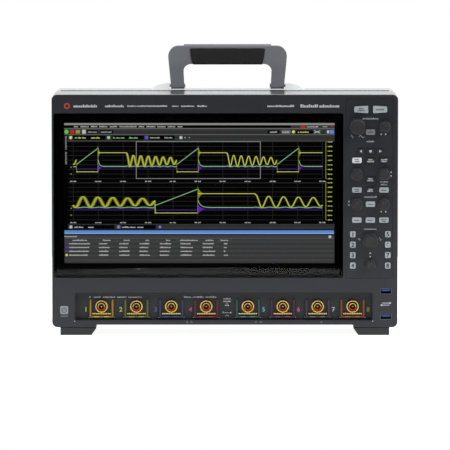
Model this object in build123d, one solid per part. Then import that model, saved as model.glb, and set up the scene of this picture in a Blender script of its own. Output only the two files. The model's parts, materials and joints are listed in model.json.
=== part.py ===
from build123d import *

import os
from math import cos, radians, sin, tan

# Eight-input bench signal analyzer with a touch display, a column of keys and knobs and a folding handle.
# Millimetres. +X is the user's right, +Z is up and the front faces -Y. The origin is on the bench, under the
# middle of the overall box. A depth is measured backwards from the front face of the bezel.

# ---- overall sizes ----
WIDTH = 440.0
BODY_HEIGHT = 297.2
FOOT_HEIGHT = 10.0
BODY_DEPTH = 212.0
BEZEL_DEPTH = 80.0
BUMPER_HEIGHT = 10.0
BUMPER_SIZE = (24.0, 9.0)
BUMPER_INSET = 40.0
WALL = 3.0
FRONT_WALL = 4.5
BODY_RADIUS = 7.0

# ---- clearances ----
FIT = 0.3            # a plate in its recess
KEY_GAP = 0.25       # a key cap in its hole
RUN_GAP = 0.05       # a shaft in its bore
PART_LINE = 0.6      # the groove between bezel and rear cover

# ---- rear cover ----
COVER_INSET = 1.2    # how far the rear cover is inside the bezel's outline
TOP_FLAT_DEPTH = 156.0
TOP_SLOPE = 30.0
LIP_DEPTH = 6.0
LIP_WALL = 1.6

# ---- display ----
TITLE_STRIP = 24.0   # bezel above the glass
LOWER_BAND = 63.7    # bezel below the glass
GLASS_MARGIN = 2.7
GLASS_THICKNESS = 2.0
GLASS_LEDGE = 4.0
GLASS_RADIUS = 3.0
PANEL_THICKNESS = 8.5

# ---- control column ----
COLUMN_EDGE = 12.8   # from an outer column's middle to the fascia's edge
COLUMN_OFFSET = 1.5  # how far the columns are right of the fascia's middle
FASCIA_MARGIN = 6.5
FASCIA_TOP_MARGIN = 5.5
FASCIA_THICKNESS = 2.0
FASCIA_LEDGE = 1.3
COLUMN_GAP = 3.2     # bezel between glass and fascia
COLUMN_PITCH = 17.2
CHANNEL_KEY_COLUMN = 22.2
RUN_KEY_COLUMN = 12.0

KEY_SIZE = (12.0, 6.9)
NAV_KEY_SIZE = (9.4, 6.4)
CHANNEL_KEY_SIZE = (7.2, 7.8)
RUN_KEY_SIZE = (18.0, 9.8)
RUN_KEY_SHORT_SIDE = 7.6
POWER_KEY_SIZE = (10.4, 10.4)
KEY_RADIUS = 1.6
KEY_PROUD = 1.6
KEY_TRAVEL = 1.0
KEY_FLANGE = 0.9
KEY_FLANGE_THICKNESS = 1.0
KEY_STEM_RADIUS = 1.4
BOARD_DEPTH = 14.0
BOARD_THICKNESS = 1.6
STEM_END_GAP = 0.2   # between a fully pressed key's stem and the board

KNOB_BACK_GAP = 0.8
SPINDLE_RADIUS = 3.0
ENCODER_SIZE = 12.0
ENCODER_THICKNESS = 6.0
SPINDLE_END_GAP = 2.0

# ---- rows of the control column, measured down from the fascia's top edge ----
ROW_RUN = 13.5
ROW_TIME_KNOBS = 35.4
ROW_ZOOM = 42.3
ROW_NAVIGATE = 66.6
ROW_DISPLAY = 78.3
ROW_LEVEL_KNOBS = 96.0
ROW_TOUCH = 102.6
ROW_TRIGGER = 116.0
ROW_MARKERS = 134.0
ROW_STORE = 154.3
ROW_CHANNELS = 172.4
CHANNEL_ROW_PITCH = 13.35
ROW_SCALE_KNOB = 180.6
ROW_OFFSET_KNOB = 211.0

# ---- input bay ----
BAY_SIDE_MARGIN = 31.0
BAY_BOTTOM = 19.4
BAY_HEIGHT = 33.8
BAY_DEPTH = 12.0
BAY_CHAMFER = 1.6
PANEL_PLATE = 2.0
CHANNEL_PITCH = 44.5
CHANNEL_GAP = 53.1   # between channels 4 and 5
CHANNEL_COUNT = 8
INPUT_HEIGHT = 36.2
FRAME_SIZE = (30.4, 23.0)
FRAME_BAR = 2.2
FRAME_PROUD = 4.0
FRAME_CENTRE = 33.2
COLLAR_RADIUS = 8.0
COLLAR_WALL = 1.7
COLLAR_PROUD = 7.6
BARREL_RADIUS = 4.8
BARREL_BORE = 3.9
BARREL_PROUD = 9.5
CONTACT_SIZE = (24.0, 2.4)
CONTACT_GAP = 0.3    # between a contact strip and the collar above it
CONTACT_PROUD = 3.0
LOOP_RADIUS = 2.6
LOOP_PROUD = 4.5
LOOP_BEND = 1.6
LOOP_WIRE = 0.7
LOOP_HEIGHTS = (37.4, 28.0)

# ---- front sockets and power key ----
POWER_KEY_INSET = 15.4
POWER_KEY_HEIGHT = 32.3
USB_INSET = 15.0
USB_HEIGHTS = (56.2, 23.6)
USB_OUTER = (14.6, 7.4)
USB_WALL = 0.6
USB_DEPTH = 13.0

# ---- feet ----
FOOT_OUTER_INSET = 10.5
FOOT_TOP_WIDTH = 45.8
FOOT_BOTTOM_WIDTH = 39.4
FOOT_STEP = 1.6
FRONT_FOOT = (1.0, 66.0)
REAR_FOOT_ENDS = (66.0, 8.0)   # from the rear face
LIP_RISE = 3.5       # how much higher the bezel's underside is between the feet
UNDERSIDE = 2.0
TILT_WIDTH = 26.0
TILT_THICKNESS = 5.0
TILT_LENGTH = 42.0
TILT_HINGE_DEPTH = 15.0
TILT_HINGE_HEIGHT = 4.0
TILT_PIN_RADIUS = 1.6
TILT_PIN_LENGTH = 2.6

# ---- handle ----
HANDLE_X = 3.5       # the handle stands over the centre of mass
PIVOT_DEPTH = 129.0
PIVOT_RISE = 5.0
EYE_RADIUS = 4.3
PIN_RADIUS = 2.0
HANDLE_HEIGHT = 51.3
HANDLE_BASE = 146.6
HANDLE_TOP = 155.9
LEG_BASE = 17.4
BAR_HEIGHT = 23.0
BAR_THICKNESS = 22.0
GRIP_LENGTH = 96.8
GRIP_SLANT = 4.0
GRIP_HEIGHT = 21.2
GRIP_SKIN = 1.0
GRIP_DROP = 4.4      # from the crest's top to the grip's upper edge
CREST_LENGTH = 113.0
CREST_RISE = 1.9
BOSS_WIDTH = 25.0
BOSS_HEIGHT = 8.0
BOSS_LENGTH = 30.0
LEG_GAP = 0.4
BOSS_GAP = 1.3            # wider, because the folded leg's slanted side sweeps past the boss
LEG_TAPER_HEIGHT = 27.0   # above the pivot, where the leg has the bar's thickness
LEG_TAPER_RADIUS = 45.0
PIN_HEAD_RADIUS = 3.0
PIN_HEAD_THICKNESS = 0.9

# ---- inside ----
BULKHEAD_DEPTH = 26.0
SHEET = 1.5
CHASSIS_MARGIN = 12.0
POST_RADIUS = 3.0
BOARD_STANDOFF = 4.0
SINK_HEIGHT = 22.0
SUPPLY_GAP = 18.9        # from the heat sinks to the mains supply
SUPPLY_REAR_ROOM = 38.0  # from the mains supply to the rear face
SUPPLY_SLOT_PITCH = 9.0
FAN_SIZE = 92.0
FAN_DEPTH = 25.0
FAN_X = 95.0
FAN_HEIGHT = 158.0
FAN_BLADES = 7
FAN_HUB_RADIUS = 17.0
FAN_SHAFT_RADIUS = 2.0

# ---- rear sockets ----
PORT_PLATE = (-132.0, 78.0, 26.0, 70.0)
PORT_HEIGHT = 48.0
INLET_X = -174.0
INLET_HEIGHT = 48.0
INLET_BODY = (27.4, 20.0)
INLET_FLANGE = (49.0, 24.0)
INLET_WELL = (24.0, 16.6)
INLET_PIN_RECESS = 3.0

# ---- screws ----
SCREW_RADIUS = 2.0
SCREW_HEAD_RADIUS = 3.6
SCREW_LENGTH = 9.0

# ---- worked out from the sizes above ----
HALF = WIDTH / 2
BODY_TOP = FOOT_HEIGHT + BODY_HEIGHT
BIG_KNOB = {"radius": 9.5, "length": 15.0, "flutes": 24}
MID_KNOB = {"radius": 7.2, "length": 13.0, "flutes": 18}
SMALL_KNOB = {"radius": 6.5, "length": 12.0, "flutes": 16}
FRONT = -(BODY_DEPTH + BUMPER_HEIGHT - BIG_KNOB["length"]) / 2
FASCIA_WIDTH = 2 * (COLUMN_PITCH + COLUMN_EDGE)
FASCIA_X1 = HALF - FASCIA_MARGIN
FASCIA_X0 = FASCIA_X1 - FASCIA_WIDTH
FASCIA_TOP = BODY_TOP - FASCIA_TOP_MARGIN
CENTRE_COLUMN = FASCIA_X0 + FASCIA_WIDTH / 2 + COLUMN_OFFSET
GLASS_X0 = -HALF + GLASS_MARGIN
GLASS_X1 = FASCIA_X0 - COLUMN_GAP
GLASS_Z0 = FOOT_HEIGHT + LOWER_BAND
GLASS_Z1 = BODY_TOP - TITLE_STRIP
FASCIA_BOTTOM = GLASS_Z0 - 0.7
GLASS_DEPTH = FIT
FASCIA_DEPTH = 0.2
KEY_BACK = FASCIA_DEPTH + FASCIA_THICKNESS + 0.8
STEM_END = BOARD_DEPTH - KEY_TRAVEL - STEM_END_GAP
COVER_TOP = BODY_TOP - COVER_INSET
COVER_REAR_TOP = COVER_TOP - (BODY_DEPTH - TOP_FLAT_DEPTH) * tan(radians(TOP_SLOPE))
COVER_DEPTH = BEZEL_DEPTH + PART_LINE
BAY_X0 = -HALF + BAY_SIDE_MARGIN - 1.4
BAY_X1 = HALF - BAY_SIDE_MARGIN - 1.4
BAY_TOP = BAY_BOTTOM + BAY_HEIGHT
PIVOT_HEIGHT = COVER_TOP + PIVOT_RISE
REAR_FOOT = (BODY_DEPTH - REAR_FOOT_ENDS[0], BODY_DEPTH - REAR_FOOT_ENDS[1])
SINK_START = BULKHEAD_DEPTH + SHEET + BOARD_STANDOFF + BOARD_THICKNESS


def channel_x(number):
    """Centre of input 1 to 8: four each side of a wider gap."""
    side = -1 if number <= 4 else 1
    from_gap = 4 - number if number <= 4 else number - 5
    return 2.8 + side * (CHANNEL_GAP / 2 + from_gap * CHANNEL_PITCH)


def span(x0, x1, d0, d1, z0, z1):
    """A block between two widths, two depths and two heights."""
    middle = Pos((x0 + x1) / 2, FRONT + (d0 + d1) / 2, (z0 + z1) / 2)
    return middle * Box(x1 - x0, d1 - d0, z1 - z0)


def prism(outline, d0, d1):
    """An outline drawn as seen from the front, from one depth to another."""
    plane = Plane((0, FRONT + d1, 0), x_dir=(1, 0, 0), z_dir=(0, -1, 0))
    return extrude(plane * outline, amount=d1 - d0)


def side_prism(outline, x0, x1):
    """An outline of depth and height, from one width to another."""
    plane = Plane((x0, FRONT, 0), x_dir=(0, 1, 0), z_dir=(1, 0, 0))
    return extrude(plane * outline, amount=x1 - x0)


def rounded(x0, x1, z0, z1, radius):
    return Pos((x0 + x1) / 2, (z0 + z1) / 2) * RectangleRounded(x1 - x0, z1 - z0, radius)


def centred(x, z, size, radius, grow=0.0):
    """A rounded rectangle about a point, grown by a margin all round."""
    return Pos(x, z) * RectangleRounded(size[0] + 2 * grow, size[1] + 2 * grow, radius + grow)


def polygon(*points):
    return make_face(Polyline(*points, close=True))


def rod(x, z, radius, d0, d1):
    return prism(Pos(x, z) * Circle(radius), d0, d1)


def cross_rod(x0, x1, depth, z, radius):
    """A rod along X."""
    return side_prism(Pos(depth, z) * Circle(radius), x0, x1)


def turned(x, z, *points):
    """A solid turned about a front-to-back axis from points of radius and depth."""
    plane = Plane((x, FRONT, z), x_dir=(1, 0, 0), z_dir=(0, 0, 1))
    return revolve(plane * polygon(*points), axis=Axis((x, FRONT, z), (0, 1, 0)))


def edges_at(shape, depth):
    """The edges of a shape that lie in one depth."""
    return shape.edges().filter_by_position(Axis.Y, FRONT + depth - 0.01, FRONT + depth + 0.01)


# ---- keys: each has a centre, an outline and the depth where its flange sits ----
def row(offset):
    return FASCIA_TOP - offset


def grid_key(column, offset, size=KEY_SIZE, pitch=COLUMN_PITCH):
    x = CENTRE_COLUMN + column * pitch
    z = row(offset)
    return {"x": x, "z": z, "outline": lambda grow=0.0: centred(x, z, size, KEY_RADIUS, grow)}


def run_key(side):
    """The two large keys at the top of the column: the side next to the other key is the taller."""
    x = CENTRE_COLUMN + side * RUN_KEY_COLUMN
    z = row(ROW_RUN)
    inner = x - side * RUN_KEY_SIZE[0] / 2
    outer = x + side * RUN_KEY_SIZE[0] / 2
    tall = RUN_KEY_SIZE[1] / 2
    short = RUN_KEY_SHORT_SIDE / 2

    def outline(grow=0.0):
        shape = polygon((inner, z - tall), (outer, z - short), (outer, z + short), (inner, z + tall))
        shape = fillet(shape.vertices(), KEY_RADIUS)
        return offset(shape, grow) if grow else shape

    return {"x": x, "z": z, "outline": outline}


KEYS = {
    "key_run_stop": run_key(-1),
    "key_single": run_key(1),
    "key_zoom": grid_key(0, ROW_ZOOM),
    "key_navigate_back": grid_key(-1, ROW_NAVIGATE, NAV_KEY_SIZE, RUN_KEY_COLUMN),
    "key_navigate_stop": grid_key(0, ROW_NAVIGATE, NAV_KEY_SIZE, RUN_KEY_COLUMN),
    "key_navigate_play": grid_key(1, ROW_NAVIGATE, NAV_KEY_SIZE, RUN_KEY_COLUMN),
    "key_fine": grid_key(-1, ROW_DISPLAY),
    "key_clear_display": grid_key(0, ROW_DISPLAY),
    "key_default_setup": grid_key(1, ROW_DISPLAY),
    "key_touch_off": grid_key(0, ROW_TOUCH),
    "key_trigger_left": grid_key(-1, ROW_TRIGGER),
    "key_auto_scale": grid_key(0, ROW_TRIGGER),
    "key_trigger_right": grid_key(1, ROW_TRIGGER),
    "key_markers": grid_key(0, ROW_MARKERS),
    "key_store_left": grid_key(-1, ROW_STORE),
    "key_store_centre": grid_key(0, ROW_STORE),
    "key_store_right": grid_key(1, ROW_STORE),
}
for number in range(1, CHANNEL_COUNT + 1):
    column = -1 if number <= 4 else 1
    down = ROW_CHANNELS + CHANNEL_ROW_PITCH * ((number - 1) % 4)
    KEYS[f"key_channel_{number}"] = grid_key(column, down, CHANNEL_KEY_SIZE, CHANNEL_KEY_COLUMN)

KNOBS = {
    "knob_time_scale": (CENTRE_COLUMN - 16.3, row(ROW_TIME_KNOBS), BIG_KNOB),
    "knob_time_position": (CENTRE_COLUMN + 18.4, row(ROW_TIME_KNOBS), SMALL_KNOB),
    "knob_multipurpose": (CENTRE_COLUMN - 17.2, row(ROW_LEVEL_KNOBS), MID_KNOB),
    "knob_trigger_level": (CENTRE_COLUMN + 17.2, row(ROW_LEVEL_KNOBS), MID_KNOB),
    "knob_marker_left": (CENTRE_COLUMN - 17.2, row(ROW_MARKERS), MID_KNOB),
    "knob_marker_right": (CENTRE_COLUMN + 17.2, row(ROW_MARKERS), MID_KNOB),
    "knob_vertical_scale": (CENTRE_COLUMN, row(ROW_SCALE_KNOB), BIG_KNOB),
    "knob_vertical_offset": (CENTRE_COLUMN, row(ROW_OFFSET_KNOB), SMALL_KNOB),
}
POWER_X = -HALF + POWER_KEY_INSET
POWER_BACK = FRONT_WALL + 0.6


def key(place, proud, back, stem_end):
    """A moulded key: cap, retaining flange behind the plate, and a stem that presses the switch."""
    cap = prism(place["outline"](), -proud, back)
    cap = fillet(edges_at(cap, -proud), 0.6)
    flange = prism(place["outline"](KEY_FLANGE), back, back + KEY_FLANGE_THICKNESS)
    return cap + flange + rod(place["x"], place["z"], KEY_STEM_RADIUS, back, stem_end)


def power_key():
    z = POWER_KEY_HEIGHT
    place = {
        "x": POWER_X,
        "z": z,
        "outline": lambda grow=0.0: centred(POWER_X, z, POWER_KEY_SIZE, KEY_RADIUS, grow),
    }
    return key(place, 0.9, POWER_BACK, STEM_END)


def knob(x, z, style):
    """A fluted knob with a skirt, a dished face and its own spindle."""
    radius = style["radius"]
    face = -style["length"]
    back = FASCIA_DEPTH - KNOB_BACK_GAP
    body = turned(
        x, z,
        (0, face + 0.5), (radius - 3.0, face + 0.5), (radius - 2.4, face), (radius - 1.5, face),
        (radius - 0.8, face + 0.7), (radius, back - 2.2), (radius + 0.9, back - 1.6),
        (radius + 0.9, back), (SPINDLE_RADIUS, back),
        (SPINDLE_RADIUS, BOARD_DEPTH - SPINDLE_END_GAP), (0, BOARD_DEPTH - SPINDLE_END_GAP),
    )
    flute_radius = 0.55
    flutes = []
    for i in range(style["flutes"]):
        angle = radians(360.0 / style["flutes"] * i)
        reach = radius + 0.15
        flutes.append(rod(x + reach * cos(angle), z + reach * sin(angle), flute_radius, face - 1, back - 3.0))
    return body - flutes


# ---- front ----
def bezel_outline(inset=0.0):
    return rounded(
        -HALF + inset, HALF - inset, FOOT_HEIGHT + inset, BODY_TOP - inset, max(BODY_RADIUS - inset, 1.0)
    )


def front_bezel():
    """The front shell: a moulded box open at the back, with openings for glass, fascia, bay and sockets."""
    shell = fillet(edges_at(prism(bezel_outline(), 0, BEZEL_DEPTH), 0), 1.6)
    shell -= prism(bezel_outline(WALL), FRONT_WALL, BEZEL_DEPTH)
    foot_inner = HALF - FOOT_OUTER_INSET - FOOT_TOP_WIDTH
    underside = FOOT_HEIGHT + LIP_RISE
    shell -= span(-foot_inner, foot_inner, -1, BEZEL_DEPTH, 0, underside)
    shell += span(-foot_inner - 1, foot_inner + 1, FRONT_WALL - 1, BEZEL_DEPTH, underside, underside + UNDERSIDE)
    shell += prism(rounded(BAY_X0 - WALL, BAY_X1 + WALL, BAY_BOTTOM - WALL, BAY_TOP + WALL, 2.0), 1.0, BAY_DEPTH)
    shell -= prism(rounded(BAY_X0, BAY_X1, BAY_BOTTOM, BAY_TOP, 1.5), -1, BAY_DEPTH + 1)
    rim = [
        edge for edge in edges_at(shell, 0)
        if BAY_X0 - 1 < edge.center().X < BAY_X1 + 1 and BAY_BOTTOM - 1 < edge.center().Z < BAY_TOP + 1
    ]
    shell = chamfer(rim, BAY_CHAMFER)
    shell -= prism(
        rounded(GLASS_X0 - FIT, GLASS_X1 + FIT, GLASS_Z0 - FIT, GLASS_Z1 + FIT, GLASS_RADIUS + FIT),
        -1, GLASS_DEPTH + GLASS_THICKNESS,
    )
    shell -= prism(
        rounded(GLASS_X0 + GLASS_LEDGE, GLASS_X1 - GLASS_LEDGE, GLASS_Z0 + GLASS_LEDGE,
                GLASS_Z1 - GLASS_LEDGE, GLASS_RADIUS),
        -1, FRONT_WALL + 1,
    )
    shell -= prism(fascia_outline(FIT), -1, FASCIA_DEPTH + FASCIA_THICKNESS)
    shell -= prism(fascia_outline(-FASCIA_LEDGE), -1, FRONT_WALL + 1)
    shell -= prism(centred(POWER_X, POWER_KEY_HEIGHT, POWER_KEY_SIZE, KEY_RADIUS, KEY_GAP), -1, FRONT_WALL + 1)
    for z in USB_HEIGHTS:
        shell -= prism(centred(HALF - USB_INSET, z, USB_OUTER, 0.8, 0.2), -1, FRONT_WALL + 1)
    return shell


def fascia_outline(grow=0.0):
    return rounded(FASCIA_X0 - grow, FASCIA_X1 + grow, FASCIA_BOTTOM - grow, FASCIA_TOP + grow, 3.0 + grow)


def control_fascia():
    """The inset plate of the control column, with a hole for each key and spindle."""
    plate = prism(fascia_outline(), FASCIA_DEPTH, FASCIA_DEPTH + FASCIA_THICKNESS)
    holes = [prism(place["outline"](KEY_GAP), -1, FASCIA_THICKNESS + 1) for place in KEYS.values()]
    holes += [rod(x, z, SPINDLE_RADIUS + 0.5, -1, FASCIA_THICKNESS + 1) for x, z, _ in KNOBS.values()]
    return plate - holes


def touch_glass():
    glass = prism(rounded(GLASS_X0, GLASS_X1, GLASS_Z0, GLASS_Z1, GLASS_RADIUS),
                  GLASS_DEPTH, GLASS_DEPTH + GLASS_THICKNESS)
    return fillet(edges_at(glass, GLASS_DEPTH), 0.4)


def display_module():
    """The panel behind the glass: a flat module with a raised back cover."""
    start = GLASS_DEPTH + GLASS_THICKNESS + 0.4
    edge = GLASS_LEDGE + FIT
    outline = rounded(GLASS_X0 + edge, GLASS_X1 - edge, GLASS_Z0 + edge, GLASS_Z1 - edge, GLASS_RADIUS)
    panel = prism(outline, start, start + PANEL_THICKNESS)
    return panel + span(GLASS_X0 + 40, GLASS_X1 - 40, start + PANEL_THICKNESS,
                        start + PANEL_THICKNESS + 3, GLASS_Z0 + 30, GLASS_Z1 - 30)


def control_board():
    """The circuit board behind the keys, with a bored encoder for each knob's spindle."""
    solids = [span(FASCIA_X0 + 1.5, FASCIA_X1 - 1.5, BOARD_DEPTH, BOARD_DEPTH + BOARD_THICKNESS,
                   FASCIA_BOTTOM + 2, FASCIA_TOP - 2)]
    for x, z, _ in KNOBS.values():
        half = ENCODER_SIZE / 2
        body = span(x - half, x + half, BOARD_DEPTH - ENCODER_THICKNESS, BOARD_DEPTH, z - half, z + half)
        solids.append(body - rod(x, z, SPINDLE_RADIUS + RUN_GAP, 0, BOARD_DEPTH - SPINDLE_END_GAP + 1))
    half_power = POWER_KEY_SIZE[0] / 2 + 1
    solids.append(span(POWER_X - half_power, POWER_X + half_power, BOARD_DEPTH, BOARD_DEPTH + BOARD_THICKNESS,
                       POWER_KEY_HEIGHT - half_power, POWER_KEY_HEIGHT + half_power))
    return solids


# ---- input bay ----
def input_panel():
    """The floor of the input bay, with a hole for each connector."""
    plate = prism(rounded(BAY_X0 - WALL, BAY_X1 + WALL, BAY_BOTTOM - WALL, BAY_TOP + WALL, 2.0),
                  BAY_DEPTH, BAY_DEPTH + PANEL_PLATE)
    for number in range(1, CHANNEL_COUNT + 1):
        plate -= rod(channel_x(number), INPUT_HEIGHT, COLLAR_RADIUS - 1.2 + FIT, 0, BAY_DEPTH + 5)
    return plate


def channel_frames():
    """A coloured surround for each input, open at the top."""
    frames = []
    width, height = FRAME_SIZE
    for number in range(1, CHANNEL_COUNT + 1):
        x = channel_x(number)
        outer = prism(centred(x, FRAME_CENTRE, FRAME_SIZE, 1.2), BAY_DEPTH - FRAME_PROUD, BAY_DEPTH)
        inner = span(x - width / 2 + FRAME_BAR, x + width / 2 - FRAME_BAR, 0, BAY_DEPTH + 1,
                     FRAME_CENTRE - height / 2 + FRAME_BAR, FRAME_CENTRE + height)
        frames.append(outer - inner)
    return frames


def input_connectors():
    """A coaxial socket for each input: a ring collar round a barrel with two bayonet studs and a centre pin."""
    sockets = []
    for number in range(1, CHANNEL_COUNT + 1):
        x = channel_x(number)
        tip = BAY_DEPTH - COLLAR_PROUD
        end = BAY_DEPTH - BARREL_PROUD
        floor = BAY_DEPTH - 1.0
        bore = BARREL_BORE
        socket = turned(
            x, INPUT_HEIGHT,
            (0, floor), (bore, floor), (bore, end), (BARREL_RADIUS - 0.3, end), (BARREL_RADIUS, end + 0.3),
            (BARREL_RADIUS, floor), (COLLAR_RADIUS - COLLAR_WALL, floor),
            (COLLAR_RADIUS - COLLAR_WALL, tip + 0.4), (COLLAR_RADIUS - COLLAR_WALL + 0.4, tip),
            (COLLAR_RADIUS - 0.5, tip), (COLLAR_RADIUS, tip + 0.5), (COLLAR_RADIUS, BAY_DEPTH),
            (COLLAR_RADIUS - 1.2, BAY_DEPTH), (COLLAR_RADIUS - 1.2, BAY_DEPTH + PANEL_PLATE + 5),
            (0, BAY_DEPTH + PANEL_PLATE + 5),
        )
        socket += cross_rod(x - BARREL_RADIUS - 0.9, x - BARREL_RADIUS + 0.5, end + 4.0, INPUT_HEIGHT, 0.9)
        socket += cross_rod(x + BARREL_RADIUS - 0.5, x + BARREL_RADIUS + 0.9, end + 4.0, INPUT_HEIGHT, 0.9)
        sockets.append(socket + rod(x, INPUT_HEIGHT, 1.1, end + 3.0, floor))
    return sockets


def contact_strips():
    """The row of spring contacts under each input, in its block."""
    half, height = CONTACT_SIZE[0] / 2, CONTACT_SIZE[1]
    top = INPUT_HEIGHT - COLLAR_RADIUS - CONTACT_GAP
    centres = [channel_x(number) for number in range(1, CHANNEL_COUNT + 1)]
    return [span(x - half, x + half, BAY_DEPTH - CONTACT_PROUD, BAY_DEPTH, top - height, top) for x in centres]


def probe_terminals():
    """Two wire loops for the compensation signal and its ground."""
    loops = []
    for z in LOOP_HEIGHTS:
        centre = Plane((channel_x(4) + CHANNEL_GAP / 2, FRONT + BAY_DEPTH, z), x_dir=(1, 0, 0), z_dir=(0, 0, 1))
        path = centre * FilletPolyline(
            (-LOOP_RADIUS, 0), (-LOOP_RADIUS, -LOOP_PROUD), (LOOP_RADIUS, -LOOP_PROUD), (LOOP_RADIUS, 0),
            radius=LOOP_BEND,
        )
        loops.append(sweep(Plane(path @ 0, z_dir=path % 0) * Circle(LOOP_WIRE), path=path))
    return loops


def front_usb_ports():
    """Two sockets with a tongue near the top of each."""
    ports = []
    width, height = USB_OUTER
    for z in USB_HEIGHTS:
        x = HALF - USB_INSET
        shell = prism(centred(x, z, USB_OUTER, 0.8), 0.2, 0.2 + USB_DEPTH)
        shell -= prism(centred(x, z, USB_OUTER, 0.8, -USB_WALL), -1, USB_DEPTH - 1.0)
        tongue_top = z + height / 2 - USB_WALL - 1.0
        ports.append(shell + span(x - width / 2 + 2.2, x + width / 2 - 2.2, 1.2, USB_DEPTH,
                                  tongue_top - 1.8, tongue_top))
    return ports


# ---- cover, feet ----
def cover_outline(inset=0.0, start=COVER_DEPTH):
    """The rear cover seen from the side: flat top, then a slope down to the rear face."""
    drop = inset / cos(radians(TOP_SLOPE)) - inset
    rear = BODY_DEPTH - inset
    slope = tan(radians(TOP_SLOPE))
    corner = TOP_FLAT_DEPTH - drop / slope
    top = COVER_TOP - inset
    return polygon(
        (start, FOOT_HEIGHT + inset), (rear, FOOT_HEIGHT + inset),
        (rear, top - (rear - corner) * slope), (corner, top), (start, top),
    )


def vent_slots(x0, x1, z0, z1, pitch, slot):
    """Heights of evenly spaced slots between two heights."""
    count = int((z1 - z0) / pitch)
    return [(x0, x1, z0 + pitch * i, z0 + pitch * i + slot) for i in range(count)]


def screw_places():
    """Screw centres on the rear face, as width and height."""
    x = HALF - 14.0
    heights = (FOOT_HEIGHT + 12.0, (FOOT_HEIGHT + COVER_REAR_TOP) / 2, COVER_REAR_TOP - 12.0)
    return [(side * x, z) for side in (-1, 1) for z in heights]


def rear_cover():
    """The rear shell, with a locating lip inside the bezel, side and rear vents and bumpers to stand it on."""
    half = HALF - COVER_INSET
    outer = side_prism(cover_outline(), -half, half)
    keep_sharp = edges_at(outer, COVER_DEPTH)
    outer = fillet([edge for edge in outer.edges() if edge not in keep_sharp], 6.0)
    for x in (-HALF + BUMPER_INSET, HALF - BUMPER_INSET):
        for z in (FOOT_HEIGHT + 84, COVER_REAR_TOP - 18):
            bumper = prism(centred(x, z, BUMPER_SIZE, 4.0), BODY_DEPTH - 1, BODY_DEPTH + BUMPER_HEIGHT)
            outer += fillet(edges_at(bumper, BODY_DEPTH + BUMPER_HEIGHT), 1.5)
    cover = outer - side_prism(cover_outline(WALL, COVER_DEPTH - 1), -half + WALL, half - WALL)
    lip_out = WALL + FIT
    lip = prism(bezel_outline(lip_out), COVER_DEPTH - LIP_DEPTH, COVER_DEPTH + 2)
    lip -= prism(bezel_outline(lip_out + LIP_WALL), COVER_DEPTH - LIP_DEPTH - 1, COVER_DEPTH + 3)
    lip_edge = prism(bezel_outline(COVER_INSET + 1.2), COVER_DEPTH, COVER_DEPTH + 2)
    lip_edge -= prism(bezel_outline(lip_out + LIP_WALL), COVER_DEPTH - 1, COVER_DEPTH + 3)
    lip -= span(-HALF, HALF, 0, COVER_DEPTH, 0, FOOT_HEIGHT + LIP_RISE + UNDERSIDE + FIT)
    cover += [lip, lip_edge]
    cutters = []
    for d0 in (108.0, 152.0):
        for d0, d1, z0, z1 in vent_slots(d0, d0 + 36.0, FOOT_HEIGHT + 50, COVER_REAR_TOP - 25, 7.0, 2.8):
            slot = side_prism(rounded(d0, d1, z0, z1, 1.35), -HALF, HALF)
            cutters.append(slot)
    for x0, x1, z0, z1 in vent_slots(-HALF + 50, -40.0, 104.0, COVER_REAR_TOP - 30, 7.0, 2.8):
        cutters.append(prism(rounded(x0, x1, z0, z1, 1.35), BODY_DEPTH - 10, BODY_DEPTH + 1))
    ring = FAN_SIZE / 2 - 2
    steps = int(2 * ring / 7.0)
    for i in range(steps):
        z = -ring + 7.0 * (i + 0.5)
        reach = (ring ** 2 - z ** 2) ** 0.5
        if reach > 6:
            cutters.append(prism(centred(FAN_X, FAN_HEIGHT + z, (2 * reach, 3.4), 1.6),
                                 BODY_DEPTH - 10, BODY_DEPTH + 1))
    x0, x1, z0, z1 = PORT_PLATE
    cutters.append(prism(rounded(x0 + 4, x1 - 4, z0 + 4, z1 - 4, 2.0), BODY_DEPTH - 10, BODY_DEPTH + 1))
    cutters.append(prism(centred(INLET_X, INLET_HEIGHT, INLET_BODY, 1.5, FIT), BODY_DEPTH - 10, BODY_DEPTH + 1))
    cutters += [rod(x, z, SCREW_RADIUS + 0.2, BODY_DEPTH - 10, BODY_DEPTH + 1) for x, z in screw_places()]
    cutters.append(prism(centred(HALF - 46, FOOT_HEIGHT + 40, (7.0, 3.0), 0.9), BODY_DEPTH - 10, BODY_DEPTH + 1))
    return cover - cutters


def foot_outline(side):
    outer = HALF - FOOT_OUTER_INSET
    top = outer - FOOT_TOP_WIDTH
    bottom = outer - FOOT_BOTTOM_WIDTH
    return polygon(
        (side * outer, 0), (side * bottom, 0), (side * (top + 0.3), FOOT_HEIGHT - FOOT_STEP),
        (side * top, FOOT_HEIGHT), (side * outer, FOOT_HEIGHT),
    )


def tilt_centre(side):
    """Middle of the tilt leg's width: between the foot's outer side and its bottom inner corner."""
    return side * (HALF - FOOT_OUTER_INSET - FOOT_BOTTOM_WIDTH / 2)


def feet():
    """Two front feet, each hollowed for its tilt leg, and two rear feet."""
    solids = []
    for side in (-1, 1):
        front = prism(foot_outline(side), *FRONT_FOOT)
        front = chamfer(edges_at(front, FRONT_FOOT[0]), 0.8)
        x = tilt_centre(side)
        half = TILT_WIDTH / 2 + FIT
        front -= span(x - half, x + half, TILT_HINGE_DEPTH - 7, TILT_HINGE_DEPTH + TILT_LENGTH + 6, -1,
                      TILT_HINGE_HEIGHT + TILT_THICKNESS / 2 + FIT)
        reach = TILT_WIDTH / 2 + TILT_PIN_LENGTH + FIT
        front -= cross_rod(x - reach, x + reach, TILT_HINGE_DEPTH, TILT_HINGE_HEIGHT, TILT_PIN_RADIUS + RUN_GAP)
        solids.append(front)
        solids.append(prism(foot_outline(side), *REAR_FOOT))
    return solids


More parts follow.
